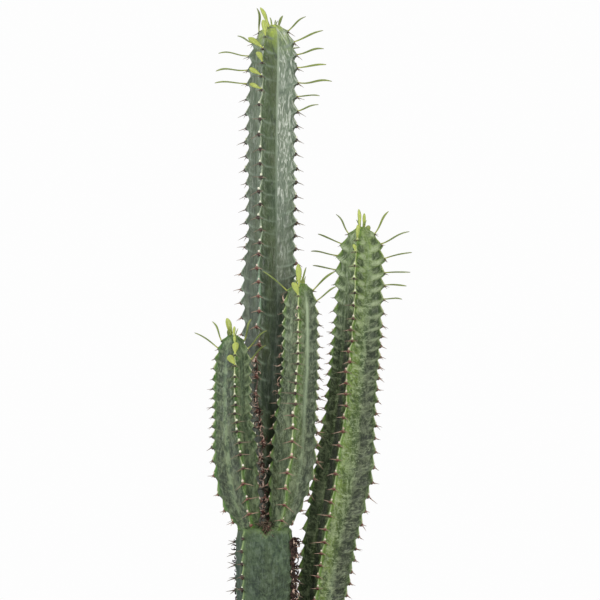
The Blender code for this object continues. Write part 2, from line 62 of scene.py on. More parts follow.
# Every stem has four ribs, numbered from the one at the front towards the right
RIBS = 4
RIB_TURN = math.tau / RIBS
HALF_TURN = RIB_TURN / 2
TOOTH_SHARE = 0.13  # height of a tooth, of the radius over the teeth
TOOTH_OF_RIB = 0.33  # and at most this share of the rib's height over the valleys
TOOTH_VARIES = 0.12
SPACING_VARIES = 0.06
FIRST_TOOTH = 0.42  # spacings below the tip
LOWEST_TOOTH = 0.6  # spacings above the foot

SPINE_LENGTH = 10 * MM
YOUNG_STEM_LENGTH = 140 * MM  # over which the spines grow to their full length
SPINELESS_TIP = 7 * MM
HORNLESS_TIP = 3 * MM
SPINE_SPREAD = (0.5, 0.85, -0.3)  # outward, sideways and upward
SIDE_RIB_SPREAD = (0.8, 0.6, -0.42)  # the same on the ribs at the left and right of a stem
SPINE_SPREAD_VARIES = 0.18
SPINE_LENGTHS = (0.8, 1.15)  # of the length for its age
LONG_SPINES = (1.3, 1.9)  # of that again, for the few long ones
SPINE_REACH = 1.25  # of that length, for the thin end of a fine spine
SPINE_SWINGS = (0, 0.5, 1)  # tried in turn, from straight aside to outward
SPINE_CUTS = (1, 0.75, 0.5)
SPINE_CLEARANCE = 1.0 * MM
LEAF_WIDTH = 7.5 * MM
LEAF_RISE = 0.02  # of its length, that the end of a leaf lies towards its upper face

# Rows of a stem, from its foot to its tip, in millimetres and degrees:
# height, axis x, axis y, radius over the teeth, radius in the valleys, tooth spacing, turn of the ribs
TRUNK_ROWS = (
    (ROOTED_FOOT, -28, 2, 30, 29, 15, -38),
    (225, -28, 2, 34, 29.5, 15, -38),
    (250, -28, 1, 40, 29.5, 15, -38),
    (300, -28, 0, 45, 30, 15.5, -38),
    (350, -28, 0, 46, 30.5, 15.5, -38),
    (376, -28, 0, 46, 31, 15.5, -38),
    (TRUNK_TOP_LEVEL, -28, 0, 43, 31, 15.5, -38),
)
TALL_ROWS = (
    (SHOOT_FOOT, -20, 14, 20, 15, 14, -17),
    (420, -20.5, 16, 24, 15, 16, -18),
    (460, -21.5, 18.5, 28, 16, 18, -18),
    (505, -24.5, 20, 32, 18.5, 19, -14),
    (560, -27.3, 20, 35, 20, 20, -21),
    (640, -23.5, 20, 36, 21, 21, -20),
    (680, -22, 20, 38.5, 22, 20, -19.5),
    (717, -22.3, 20, 38, 21.5, 17, -22),
    (742, -20.5, 20, 36, 20, 16, -24),
    (805, -20, 20, 35.3, 19, 16.5, -24),
    (867, -19.9, 20, 35.7, 19, 17.5, -24),
    (930, -19, 20, 35.5, 19, 18.5, -24),
    (970, -17.8, 20, 34.8, 19, 18, -24),
    (988, -17.5, 20, 33, 18.3, 17, -24),
    (1005, -17, 20, 28.5, 15.6, 16, -24),
    (1018, -17, 20, 20, 10.8, 13.5, -24),
    (1025, -17, 20, 9.5, 5.4, 8, -24),
)
ARM_LEFT_ROWS = (
    (SHOOT_FOOT, -46, -19, 13, 11, 11, 15),
    (405, -49, -20.5, 17.5, 12, 14, 15),
    (417, -52.5, -22, 22, 13, 16, 15),
    (432, -57.2, -23.5, 26, 14.8, 18, 16),
    (450, -61.5, -25.5, 28.5, 16.3, 19, 18),
    (480, -64, -27.5, 30.3, 17.3, 19, 18),
    (505, -65.5, -28.5, 29.3, 16.8, 15, 14),
    (530, -67.6, -29, 26, 15.2, 12, 11),
    (560, -68, -30, 25, 14.6, 11, 9),
    (590, -67.7, -30, 24.5, 14.2, 12.5, 9),
    (610, -67.2, -30, 22.5, 12.9, 13, 9),
    (622, -67.2, -30, 18.3, 10.2, 12, 9),
    (631, -67.2, -30, 14, 7.9, 9.5, 9),
    (636, -67.2, -30, 7.5, 4.3, 6.5, 9),
)
ARM_RIGHT_ROWS = (
    (SHOOT_FOOT, -13, -17.5, 12, 10, 12, -8),
    (405, -8.5, -19.5, 15.5, 11.5, 14, -5),
    (417, -4.5, -22, 19.5, 12.5, 16, -4),
    (432, -0.5, -24, 23.5, 14, 18.5, -5),
    (450, 3, -26, 27.5, 16, 20, -10),
    (480, 8, -29, 30.5, 17.5, 20, -10),
    (517, 9.8, -31, 28.8, 16.6, 17.5, -6),
    (560, 14, -32.4, 26.2, 15.2, 13.5, -10),
    (590, 16.4, -33.2, 24.7, 14.6, 12, -10),
    (640, 17, -34, 23.7, 13.8, 13.5, -8),
    (665, 17, -34, 22.8, 13.1, 14.5, -8),
    (680, 16.8, -34, 20.5, 11.6, 14.5, -8),
    (692, 16.5, -34, 17, 9.6, 12.5, -8),
    (700, 16.5, -34, 9.5, 5.4, 8.5, -8),
)
STEM_RIGHT_ROWS = (
    (ROOTED_FOOT, 33, 14, 17, 16, 13, -15),
    (228, 34, 14, 20, 16, 13, -15),
    (255, 37, 13, 26, 16.5, 13.5, -15),
    (305, 43, 12, 32.5, 18.5, 14, -15),
    (355, 50.2, 11, 35, 20, 14.5, -15),
    (405, 58.7, 10, 37.5, 21, 16, -15),
    (430, 64.3, 10, 38.5, 21.5, 17, -15),
    (455, 68.8, 10, 39.9, 22, 17.5, -15),
    (480, 72.8, 10, 39.6, 22, 18, -15),
    (530, 78, 10, 35.2, 20.3, 16.5, -15),
    (580, 83, 10, 33.5, 19.5, 14, -15),
    (640, 88, 10, 32.5, 18.8, 13, -15),
    (665, 89.8, 10, 32.2, 18.6, 14.5, -15),
    (690, 91, 10, 31.8, 18.4, 17, -15),
    (718, 92, 10, 31.5, 18.2, 16.5, -15),
    (736, 93, 10, 30, 17, 17, -15),
    (752, 93.3, 10, 25.3, 14.2, 16, -15),
    (765, 93.5, 10, 16, 9, 12.5, -15),
    (771, 93.5, 10, 7.5, 4.4, 8, -15),
)

# Leaves on each rib, from its topmost tooth downward: length in millimetres, lift and lean to the
# rib's own right in degrees and, for a leaf that shows its broad side, its width in millimetres
TALL_LEAVES = (
    (
        (27, 66, -60, 6.5), (20, 80, -20, 8.5), (23, 30, -45, 8.5), (16, 45, -10, 8),
        (18, 22, -45, 6.5), (17, 16, -45, 6),
    ),
    ((30, 34, 0), (43, 17, 0), (37, 10, 4), (42, 3, -5), (46, 1, 3), (32, 0, 0), (30, 14, -4)),
    ((18, 68, -30), (30, 22, 6), (40, 10, -6), (42, 4, 4), (38, 0, 0)),
    ((30, 84, 0), (24, 22, 0), (42, 3, 4), (46, -3, -3), (45, -1, 2)),
)
ARM_LEFT_LEAVES = (
    ((14, 84, 0, 4), (11, 84, 0, 4), (15, 74, 10, 8.5), (17, 40, -50, 8.5)),
    ((28, 70, 0), (33, 42, -6), (27, 42, 6)),
    ((25, 76, 70, 7.5), (24, 50, 5), (26, 25, -5)),
    ((26, 63, 0), (36, 31, 4)),
)
ARM_RIGHT_LEAVES = (
    ((28, 84, 6, 7.5), (18, 62, -32, 8.5)),
    ((36, 38, -4), (31, 33, 5)),
    ((25, 76, -80), (28, 45, 8), (28, 25, -8)),
    ((39, 38, 6),),
)
STEM_RIGHT_LEAVES = (
    ((26, 86, 20, 4.8), (18, 84, -10, 4.5), (9, 66, -30, 5)),
    ((33, 56, 0), (40, 22, -4), (36, 13, 4), (34, 2, 0), (29, -2, -4), (24, 0, 5)),
    ((22, 76, 0, 4.2), (30, 35, 6), (34, 12, -6), (32, 3, 0)),
    ((29, 54, 0), (33, 20, 4), (37, 5, -4), (31, 6, 5)),
)
NO_LEAVES = ((), (), (), ())

# The fine skin. Rings lie at these shares of the way from one tooth tip to the next tip below it,
# and again half a step further, for the teeth of the ribs between
RING_OFFSETS = (0, 0.02, 0.045, 0.075, 0.11, 0.15, 0.2, 0.26, 0.33, 0.41)
TIP_GAP = 0.01  # steps without a ring below the tip
FOOT_GAP = 0.02  # and above the foot
FOOT_STEP = 0.9  # steps from the lowest tooth to the foot
# Columns lie at these shares of the way from a crest to the valley beside it
FACE_SHARES = (0.02, 0.045, 0.08, 0.125, 0.18, 0.25, 0.34, 0.45, 0.57, 0.7, 0.82, 0.92, 0.97, 1)
# Between two tooth tips, how far the crest lies back and hangs down, of the size of a tooth
TOOTH_DEPTHS = (
    (0, 0), (0.02, 0.12), (0.045, 0.36), (0.075, 0.58), (0.11, 0.74), (0.15, 0.86), (0.2, 0.95),
    (0.26, 1), (0.33, 0.985), (0.41, 0.92), (0.5, 0.82), (0.6, 0.67), (0.7, 0.5), (0.8, 0.33),
    (0.9, 0.16), (0.97, 0.045), (1, 0),
)
TOOTH_HOOKS = (
    (0, 0.3), (0.02, 0.3), (0.045, 0.22), (0.11, 0.06), (0.17, 0), (0.84, 0), (0.93, 0.12), (1, 0.3),
)
HOOK_REACH = 2.2 * MM
TIP_HOLD = 25 * MM  # over which the fine forms fade out at the tip
FOOT_HOLD = 20 * MM
CHEVRON_DROP = 9 * MM  # how much lower a ring lies in the valleys than on the crests
CHEVRON_REACH = 9 * MM
FACE_HOLLOW = 0.035
CREST_WIDTH = 1.1 * MM  # at the radius that follows
CREST_RADIUS = 35 * MM
CREST_ROUND = 2.2  # widths over which a crest is rounded
CREST_GAP = 2 * MM  # over which marks beside a crest rise
KNOB_SPAN = 0.17  # half the width of the knobs by a tooth, of the step between teeth
KNOB_REACH = 2.6 * MM
KNOB_RISE = 0.16  # of the size of a tooth
CREASE = 0.3 * MM  # height of the fold that runs inward from a tooth
CREASE_SPAN = 0.06
CREASE_REACH = 8 * MM
LOWER_CREASE = (0.7, 0.16, 0.09)  # depth of the groove below that fold, of its height, its place and span
HUMP_START = 3.5 * MM
HUMP_SHIFTS = (0.04, 0.02)  # of its long and its short wave, in steps
SHORT_HUMP = 0.3
HUMP_FADE = (0.45, 0.5)  # share of a face where it starts to fade, and over which it does
LUMPS = 0.4 * MM
LUMP_START = 3 * MM
RIDGE_HEIGHT = 0.45 * MM  # of the slanting ridges that run down and inward from the ribs
RIDGE_WIDTH = 2.6 * MM
RIDGE_LENGTH = 11 * MM
RIDGE_START = 2 * MM
RIDGE_REACH = 13 * MM
FACE_SHIFT = 7.7  # keeps the noise of one face apart from that of the next
SHIELD_SPAN = 0.14  # of the dark skin round a shield
SHIELD_REACH = 4.5 * MM
HIGHLIGHT_STREAK_SPAN = 0.085  # of the painted highlight streak that runs inward from a tooth
EDGE_PLACE = 1 * MM  # of the green edge beside a crest
EDGE_REACH = 4 * MM
EDGE_ON_LEFT = 0.3  # share of the green edge that the left side of a rib has
SAMPLE_STEP = 1 * MM

# How a stem grows unless its own ways say otherwise. Lengths are in millimetres, and eight numbers
# are for the left and the right face of each rib in turn
PLAIN_WAYS = {
    "flat_top": False,
    "tooth": 1.3,  # depth of a fine notch, of the solid's tooth
    "old_tooth": 1,  # of that again on the old part
    "reach": 0.34,  # share of a face over which the teeth fade
    "foot_blend": 0.8,  # spacings over which the ribs come out of a round root
    "ridges": 1,  # height of the slanting ridges, of the usual
    "spines": 2,  # at each tooth
    "spine_share": 1,  # length of its spines, of the usual
    "side_spines": 1,  # of that again on the ribs at the left and right
    "spine_thick": 1,
    "long_spines": 0,  # share of the old spines that are long
    "young_spines": (0.5, 0.9, 0.7, 0.9),  # length of the youngest, of the full length, on each rib
    "spine_rise": (-0.1, 0.35),  # of its length, how far the end of a spine is raised
    "plate": 1,  # size of a shield
    "old_bead": 1.25,  # size of an old bud
    "curls": (),  # dried stalks
    "stripe": (0.4, 1.15),  # half width of the crest line below a tooth and above the next
    "stripe_from": (-2, -1),  # below the tip, where that line starts and where it is full
    "old_stripe": 1,  # width of the line on the old part, of the usual
    "streak_reach": 8,
    "hump_tone": 1,  # how strongly painted highlight and painted shade follow the humps
    "bloom_sides": (0.5,) * 8,  # shares of the wax bloom with its painted sheen, and of the pale line in the valley
    "seam_sides": (1,) * 8,
    "tints": (0,) * 8,  # painted light above 0 and painted shade below it
    "tint_reach": 13,  # of the painted light, from the crest
    "dim_beyond": 0,  # painted shade beyond that reach
    "shade_from": (0, 30),  # below the tip, where the painted shade starts and where it is full
}
WAYS_IN_MM = ("swing", "ageing", "valley_width", "stripe_from", "streak_reach", "tint_reach", "shade_from")


def in_metres(lengths):
    """A length in millimetres, or each of several, in metres."""
    return [length * MM for length in lengths] if isinstance(lengths, tuple) else lengths * MM


class Stem:
    """Where a stem's axis runs and how its section changes, as smooth functions of the height."""

    def __init__(self, rows, leaves, seed, root_radius, root_floor, ways):
        table = np.array(rows, dtype=float)
        self.heights = table[:, 0] * MM
        self.columns = table[:, 1:].T * MM
        self.columns[-1] = np.radians(table[:, -1])
        self.slopes = [np.gradient(column, self.heights) for column in self.columns]
        self.foot = self.heights[0]
        self.tip = self.heights[-1]
        self.leaves = leaves
        self.seed = seed
        self.root_radius = root_radius * MM
        self.root_floor = root_floor
        for name, value in {**PLAIN_WAYS, **ways}.items():
            setattr(self, name, in_metres(value) if name in WAYS_IN_MM else value)
        self.sample()

    def at(self, height):
        """x, y, radius over the teeth, radius in the valleys, tooth spacing and turn at a height."""
        height = min(max(height, self.foot), self.tip)
        row = int(np.clip(np.searchsorted(self.heights, height) - 1, 0, len(self.heights) - 2))
        step = self.heights[row + 1] - self.heights[row]
        share = (height - self.heights[row]) / step
        ease = share * share * (3 - 2 * share)
        pull = share * (1 - share) * step
        values = []
        for column, slopes in zip(self.columns, self.slopes):
            rise = column[row + 1] - column[row]
            bend = (1 - share) * slopes[row] - share * slopes[row + 1]
            values.append(column[row] + rise * ease + pull * bend)
        return values

    def axes(self, height):
        """The centre of the section at a height, its two cross directions and the way up the stem."""
        small = 2 * MM
        x, y = self.at(height)[:2]
        below = self.at(height - small)[:2]
        above = self.at(height + small)[:2]
        up = Vector((above[0] - below[0], above[1] - below[1], 2 * small)).normalized()
        across = (Vector((1, 0, 0)) - up * up.x).normalized()
        return Vector((x, y, height)), across, up.cross(across), up

    def directions(self, height, angle):
        """Outward, sideways and upward at an angle round the stem, which is 0 at the front."""
        _, across, back, up = self.axes(height)
        outward = across * math.sin(angle) - back * math.cos(angle)
        sideways = across * math.cos(angle) + back * math.sin(angle)
        return outward, sideways, up

    def point(self, height, angle, radial, aside):
        centre = self.axes(height)[0]
        outward, sideways, _ = self.directions(height, angle)
        return centre + outward * radial + sideways * aside

    def clearance(self, place):
        """How far a place lies outside the stem, whose faces are flat from each rib to the valleys."""
        if not self.root_floor <= place.z <= self.tip + SPINE_LENGTH:
            return math.inf
        x, y, over_teeth, in_valleys, _, turn = self.at(place.z)
        away_x, away_y = place.x - x, place.y - y
        angle = math.atan2(away_x, -away_y) - turn
        off_rib = abs((angle + HALF_TURN) % RIB_TURN - HALF_TURN)
        bend = (1 / in_valleys - math.cos(HALF_TURN) / over_teeth) / math.sin(HALF_TURN)
        surface = 1 / (math.cos(off_rib) / over_teeth + math.sin(off_rib) * bend)
        return math.hypot(away_x, away_y) - surface

    def sample(self):
        """Tables of the axes and measures at close heights, for reading at many heights at once."""
        count = int((self.tip - self.foot) / SAMPLE_STEP) + 2
        self.samples = np.linspace(self.foot, self.tip, count)
        rows = []
        for height in self.samples:
            centre, across, back, _ = self.axes(height)
            rows.append([centre.x, centre.y, *across, *back, *self.at(height)[2:]])
        self.sampled = np.array(rows).T

    def read(self, heights):
        """Centres, across, back, radius over teeth, radius in valleys, spacing and turn, as arrays."""
        values = [np.interp(heights, self.samples, column) for column in self.sampled]
        centre = np.stack([values[0], values[1], heights], axis=-1)
        across = np.stack(values[2:5], axis=-1)
        back = np.stack(values[5:8], axis=-1)
        return (centre, across, back, *values[8:])


def tooth_heights(stem, rib, dice):
    """Heights of a rib's teeth from the top down. Teeth on neighbouring ribs are half a step apart."""
    spacing = stem.at(stem.tip)[4]
    height = stem.tip - spacing * (FIRST_TOOTH + stagger(rib))
    lowest = stem.foot + LOWEST_TOOTH * stem.at(stem.foot)[4]
    heights = []
    while height > lowest:
        heights.append(height)
        height -= stem.at(height)[4] * dice.uniform(1 - SPACING_VARIES, 1 + SPACING_VARIES)
    return heights


def stagger(rib):
    return 0.5 * (rib % 2)


def make_teeth(stem, dice):
    """For each rib its teeth from the top down, each with its height, size and swing aside."""
    wander = random.Random(stem.seed + 100)
    ribs = []
    for rib in range(RIBS):
        teeth = []
        for height in reversed(tooth_heights(stem, rib, dice)):
            radius, in_valleys = stem.at(height)[2:4]
            size = min(radius * TOOTH_SHARE, (radius - in_valleys) * TOOTH_OF_RIB)
            size *= dice.uniform(1 - TOOTH_VARIES, 1 + TOOTH_VARIES)
            age = float(smooth((stem.tip - height) / (2 * YOUNG_STEM_LENGTH)))
            size *= stem.tooth * (1 + (stem.old_tooth - 1) * age)
            teeth.append({"height": height, "size": size})
        teeth.reverse()
        for number, tooth in enumerate(teeth):
            age = min((stem.tip - tooth["height"]) / YOUNG_STEM_LENGTH, 1)
            side = 1 if (number + rib) % 2 else -1
            tooth["swing"] = stem.swing * age * (0.45 * side + wander.uniform(-0.75, 0.75))
        ribs.append(teeth)
    return ribs


def smooth(share):
    share = np.clip(share, 0, 1)
    return share * share * (3 - 2 * share)


def over(span, below_tip):
    """From 0 to 1 over a span of lengths below the tip."""
    start, end = span
    return smooth((below_tip - start) / (end - start))


def bell(values):
    """1 at 0, falling smoothly to both sides."""
    return np.exp(-(values**2))


def curve(points, places):
    return np.interp(places, [p[0] for p in points], [p[1] for p in points])


def beside_crest(away, reach):
    """Rises from the crest and then fades over the reach."""
    return np.exp(-away / reach) * (1 - np.exp(-away / CREST_GAP))


def ring_places(last):
    """Where the rings of a skin lie, counted in teeth from the tip of the stem."""
    places = {0.0, last}
    for half_step in range(-1, int(2 * last) + 1):
        for offset in RING_OFFSETS:
            place = FIRST_TOOTH + 0.5 * half_step + offset
            if TIP_GAP < place < last - FOOT_GAP:
                places.add(place)
    return np.array(sorted(places))


def noise_of(points, scale, seed):
    shift = Vector((seed * 1.7, seed * -2.3, seed * 0.9))
    return np.array([noise.noise(Vector(p) * scale + shift) for p in points])


def add_object(name, points, faces, material, node=None):
    mesh = bpy.data.meshes.new(name)
    mesh.from_pydata(np.asarray(points).tolist(), [], faces)
    mesh.validate()
    mesh.materials.append(material)
    mesh.shade_smooth()
    piece = bpy.data.objects.new(name, mesh)
    bpy.context.scene.collection.objects.link(piece)
    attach(piece, BODY)
    if node:
        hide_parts(node)
    return piece


def add_values(piece, **columns):
    """Keeps one number for each vertex, which the material reads."""
    for name, values in columns.items():
        attribute = piece.data.attributes.new(name, "FLOAT", "POINT")
        attribute.data.foreach_set("value", np.asarray(values, dtype=np.float32).ravel())


def skin_grid(stem, ribs):
    """Where a skin's points lie: a row for each ring, and a column for each place round the ribs."""
    last = max(FIRST_TOOTH + stagger(rib) + len(teeth) - 1 for rib, teeth in enumerate(ribs)) + FOOT_STEP
    places = ring_places(last)
    tables = {"own": [], "size": [], "swing": [], "phase": []}
    for rib, teeth in enumerate(ribs):
        tips = [FIRST_TOOTH + stagger(rib) + number for number in range(len(teeth))]
        levels = [stem.tip, *(tooth["height"] for tooth in teeth), stem.foot]
        tables["own"].append(np.interp(places, [0, *tips, last], levels))
        tables["size"].append(np.interp(places, tips, [tooth["size"] for tooth in teeth]))
        tables["swing"].append(np.interp(places, tips, [tooth["swing"] for tooth in teeth]))
        tables["phase"].append((places - tips[0]) % 1)

    shares = [-share for share in reversed(FACE_SHARES[:-1])] + [0, *FACE_SHARES]
    columns = [(rib, -1 if share < 0 else 1, abs(share)) for rib in range(RIBS) for share in shares]
    rib, side, share = (np.array(values) for values in zip(*columns))
    grid = SimpleNamespace(rib=rib, side=side, share=share, face=rib * 2 + (side > 0))
    for key, table in tables.items():
        setattr(grid, key, np.array(table)[rib].T)
    other = np.array(tables["own"])[(rib + side) % RIBS].T
    blend = 0.5 * smooth(share)
    height = grid.own * (1 - blend) + other * blend

    over_teeth, in_valleys = stem.read(height)[3:5]
    away = share * face_form(over_teeth, in_valleys)[2]
    grid.hold = smooth((stem.tip - height) / TIP_HOLD) * smooth((height - stem.foot) / FOOT_HOLD)
    drop = CHEVRON_DROP * (1 - np.exp(-away / CHEVRON_REACH)) * grid.hold
    hook = grid.size * curve(TOOTH_HOOKS, grid.phase) * bell(away / HOOK_REACH)
    grid.height = np.maximum(height - drop - hook, stem.foot)
    grid.near_tip = np.minimum(grid.phase, 1 - grid.phase)
    grid.young = bell((stem.tip - grid.height) / (stem.humps[1] * MM))
    return grid


def face_form(over_teeth, in_valleys):
    """Where the valley lies along its rib's direction and aside of it, and how long the face is."""
    along, aside = in_valleys * math.cos(HALF_TURN), in_valleys * math.sin(HALF_TURN)
    return along, aside, np.hypot(over_teeth - along, aside)


def face_humps(stem, grid):
    """Swellings of the faces by the teeth, strongest on the young part."""
    long_shift, short_shift = HUMP_SHIFTS
    hump = np.cos(math.tau * (grid.phase - long_shift))
    hump += SHORT_HUMP * np.cos(2 * math.tau * (grid.phase - short_shift))
    fade_from, fade_over = HUMP_FADE
    hump *= smooth(grid.away / HUMP_START) * (1 - smooth((grid.share - fade_from) / fade_over)) * grid.hold
    rest = stem.humps[2]
    return hump * (rest + (1 - rest) * grid.young)


def face_lift(grid, over_teeth):
    """How far the hollow faces, round crests, knobs and creases stand out of flat faces."""
    lift = -FACE_HOLLOW * grid.length * 4 * grid.share * (1 - grid.share)
    crest_width = CREST_WIDTH * over_teeth / CREST_RADIUS
    rounding = 1 - (1 - np.clip(grid.away / (CREST_ROUND * crest_width), 0, 1)) ** 2
    lift += crest_width * rounding * (1 - grid.share)
    outward = grid.away / KNOB_REACH
    knob = bell(grid.near_tip / KNOB_SPAN) * outward * np.exp(1 - outward)
    lift += KNOB_RISE * grid.size * knob
    share, place, span = LOWER_CREASE
    crease = bell(grid.near_tip / CREASE_SPAN) - share * bell((grid.phase - place) / span)
    return lift + CREASE * crease * beside_crest(grid.away, CREASE_REACH)


def fine_bumps(stem, grid, points):
    """Lumps all over a skin, and slanting ridges on its faces."""
    shape = grid.height.shape
    flat = points.reshape(-1, 3)
    bumps = noise_of(flat, 60, stem.seed) + 0.5 * noise_of(flat * (1, 1, 0.35), 210, stem.seed + 3)
    bumps = bumps.reshape(shape) * LUMPS * grid.hold * smooth(grid.away / LUMP_START)
    page = grid.face * FACE_SHIFT + 0 * grid.height
    slanted = (grid.height + grid.away) / RIDGE_WIDTH, (grid.height - grid.away) / RIDGE_LENGTH, page
    ridges = noise_of(np.stack(slanted, axis=-1).reshape(-1, 3), 1, stem.seed).reshape(shape)
    ridges *= smooth(grid.away / RIDGE_START) * (0.25 + 0.75 * bell(grid.away / RIDGE_REACH)) * grid.hold
    return bumps + RIDGE_HEIGHT * stem.ridges * ridges * (0.7 + 0.6 * grid.young)


def stripe_width(phase, narrow, wide):
    """Half the width of the pale line on a crest in millimetres, widening downward to each tooth."""
    return narrow + (wide - narrow) * smooth((phase - 0.3) / 0.6)


def skin_marks(stem, grid, hump, rooting):
    """What the material reads on a skin, each with its values on the cap and, if not 0, on the root."""
    height, away, face = grid.height, grid.away, grid.face
    below_tip = stem.tip - height
    widening = 1 + (stem.old_stripe - 1) * over(stem.ageing, below_tip)
    stripe = stripe_width(grid.phase, *stem.stripe) * widening * MM
    crest = bell(away / stripe) * rooting * over(stem.stripe_from, below_tip)
    valley = bell((grid.length - away) / stem.valley_width) * rooting * grid.hold
    shield = np.exp(-((grid.near_tip / SHIELD_SPAN) ** 2) - (away / SHIELD_REACH) ** 2)
    # A painted highlight streak that runs inward from each tooth
    streak = bell(grid.near_tip / HIGHLIGHT_STREAK_SPAN) * beside_crest(away, stem.streak_reach) * 2
    edge = bell((away - EDGE_PLACE) / EDGE_REACH) * np.where(grid.side > 0, 1, EDGE_ON_LEFT)
    # Painted light near the crest of each lit face with painted shade beyond its reach, and painted shade on
    # the shaded faces, growing from below the tip
    tint = np.array(stem.tints)[face] * smooth(away / CREST_GAP) * (1 - smooth((grid.share - 0.7) / 0.3))
    near = bell(away / stem.tint_reach)
    painted_lit = tint * near - stem.dim_beyond * (1 - near)
    tint = np.where(tint > 0, painted_lit, tint * over(stem.shade_from, below_tip))
    return {
        "crest": (crest, 0),
        "valley": (valley * np.array(stem.seam_sides)[face], 0),
        "shield": (shield, 0),
        "streak": (streak, 0),
        "edge": (edge, 0.5),
        "hump": (hump * stem.hump_tone, 0),
        "tint": (tint, 0),
        "below_tip": (below_tip, 0, stem.tip - stem.foot),
        "away": (away / MM, 0),
        "level": (height / MM, stem.tip / MM, stem.foot / MM),
        "face": (face + 0 * height, 0),
        # Shares of the wax bloom and its painted sheen on each face
        "bloom_and_sheen": (np.array(stem.bloom_sides)[face] + 0 * height, 0.3),
    }


def skin_mesh(rings):
    """Points and faces of a skin from its rings, closed with a point at each end."""
    columns = len(rings[0])
    faces = []
    for ring in range(len(rings) - 1):
        above, below = ring * columns, (ring + 1) * columns
        for column in range(columns):
            following = (column + 1) % columns
            faces.append((above + column, below + column, below + following, above + following))
    top = len(rings) * columns
    bottom = top + 1
    lowest = top - columns
    for column in range(columns):
        following = (column + 1) % columns
        faces.append((top, column, following))
        faces.append((bottom, lowest + following, lowest + column))
    ends = [rings[0].mean(axis=0), rings[-1].mean(axis=0)]
    return np.concatenate([*rings, ends]), faces


def grow_skin(name, stem, ribs, material):
    """The fine four-ribbed skin of a stem, in rings from its tip down to its root."""
    grid = skin_grid(stem, ribs)
    centre, across, back, over_teeth, in_valleys, spacing, turn = stem.read(grid.height)
    valley_along, valley_aside, grid.length = face_form(over_teeth, in_valleys)
    grid.away = grid.share * grid.length
    normal_along = valley_aside / grid.length
    normal_aside = (over_teeth - valley_along) / grid.length
    hump = face_humps(stem, grid)
    lift = face_lift(grid, over_teeth) + stem.humps[0] * MM * hump
    by_rib = 1 - smooth(grid.share / stem.reach)
    relief = grid.size * curve(TOOTH_DEPTHS, grid.phase) * by_rib
    along = over_teeth * (1 - grid.share) + valley_along * grid.share + normal_along * lift - relief
    aside = (valley_aside * grid.share + normal_aside * lift) * grid.side + grid.swing * by_rib

    rooting = smooth((grid.height - stem.foot) / (stem.foot_blend * spacing))
    root_angle = grid.share * HALF_TURN * grid.side
    along = stem.root_radius * np.cos(root_angle) * (1 - rooting) + along * rooting
    aside = stem.root_radius * np.sin(root_angle) * (1 - rooting) + aside * rooting
    angle = turn + grid.rib * RIB_TURN
    sine, cosine = np.sin(angle)[..., None], np.cos(angle)[..., None]
    outward = across * sine - back * cosine
    sideways = across * cosine + back * sine
    points = centre + outward * along[..., None] + sideways * aside[..., None]
    push = outward * normal_along[..., None] + sideways * (normal_aside * grid.side)[..., None]
    points = points + push * fine_bumps(stem, grid, points)[..., None]

    cap = cap_rings(stem, points[0])[::-1]
    root = points[-1].copy()
    root[:, 2] = stem.root_floor
    points, faces = skin_mesh([*cap, *points, root])
    if stem.flat_top:
        points[:, 2] -= fork_depth(points)
    piece = add_object(name, points, faces, material, node=name)

    def whole(values, on_cap, on_root=0.0):
        """Values for the rings with those of the cap, the root and the two ends put round them."""
        before = np.full(len(cap) * len(root), on_cap)
        after = np.full(len(root), on_root)
        return np.concatenate([before, values.ravel(), after, [on_cap, on_root]])

    marks = skin_marks(stem, grid, hump, rooting)
    add_values(piece, **{key: whole(*values) for key, values in marks.items()})
    return piece


FORK_PLACE = (-26, -33)  # x and y in millimetres of the notch between the two arms
FORK_DEPTH = 8 * MM
FORK_WIDTH = 6.5 * MM
FORK_REACH = 12 * MM


def fork_depth(points):
    """How far the top of the trunk is sunk, in a notch at the front between the arms."""
    across = np.abs(points[:, 0] - FORK_PLACE[0] * MM) / FORK_WIDTH
    back = np.maximum(points[:, 1] - FORK_PLACE[1] * MM, 0) / FORK_REACH
    rise = smooth((points[:, 2] - TRUNK_TOP_LEVEL * MM + FORK_REACH) / FORK_REACH)
    return FORK_DEPTH * np.clip(1 - across, 0, 1) * bell(back) * rise


# The corky top of the trunk, which swells round the foot of each shoot
CALLUS_SHARES = (
    0.985, 0.96, 0.92, 0.87, 0.81, 0.75, 0.68, 0.61, 0.54, 0.47, 0.4, 0.33, 0.26, 0.19, 0.12, 0.06,
)
CALLUS_DOME = 1.5 * MM
CALLUS_RISE = 4.5 * MM
CALLUS_WIDTH = 6 * MM
CALLUS_LUMPS = 0.8 * MM
SHOOT_FEET = ((-20, 14, 20), (-46, -19, 14), (-13, -17.5, 13))  # x, y and radius in millimetres
# The closed tip of every other stem
TIP_SHARES = (0.8, 0.6, 0.4, 0.2)
TIP_DOME = 1.2 * MM


def cap_rings(stem, ring):
    """Rings that close the top of a skin, from its edge inward."""
    centre = ring.mean(axis=0)
    rings = []
    for share in CALLUS_SHARES if stem.flat_top else TIP_SHARES:
        points = centre + (ring - centre) * share
        if stem.flat_top:
            points[:, 2] += CALLUS_DOME * (1 - share**5)
            points[:, 2] += callus_rise(points)
        else:
            points[:, 2] += TIP_DOME * (1 - share * share)
        rings.append(points)
    return rings


def callus_rise(points):
    rise = np.zeros(len(points))
    for x, y, radius in SHOOT_FEET:
        distance = np.hypot(points[:, 0] - x * MM, points[:, 1] - y * MM) - radius * MM
        rise = np.maximum(rise, CALLUS_RISE * bell(distance / CALLUS_WIDTH))
    lumps = noise_of(points, 140, 5)
    return rise * (1 + 0.35 * lumps) + lumps * CALLUS_LUMPS


class Heap:
    """Points and faces of many small things that make one piece, with numbers for each point."""

    def __init__(self):
        self.points, self.faces, self.values = [], [], {}

    def add(self, points, faces, **values):
        start = len(self.points)
        self.points += [tuple(p) for p in points]
        self.faces += [tuple(start + corner for corner in face) for face in faces]
        for name, numbers in values.items():
            if not hasattr(numbers, "__len__"):
                numbers = [numbers] * len(points)
            self.values.setdefault(name, []).extend(numbers)

    def to_object(self, name, material, slot):
        add_values(add_object(name, self.points, self.faces, material), **self.values)


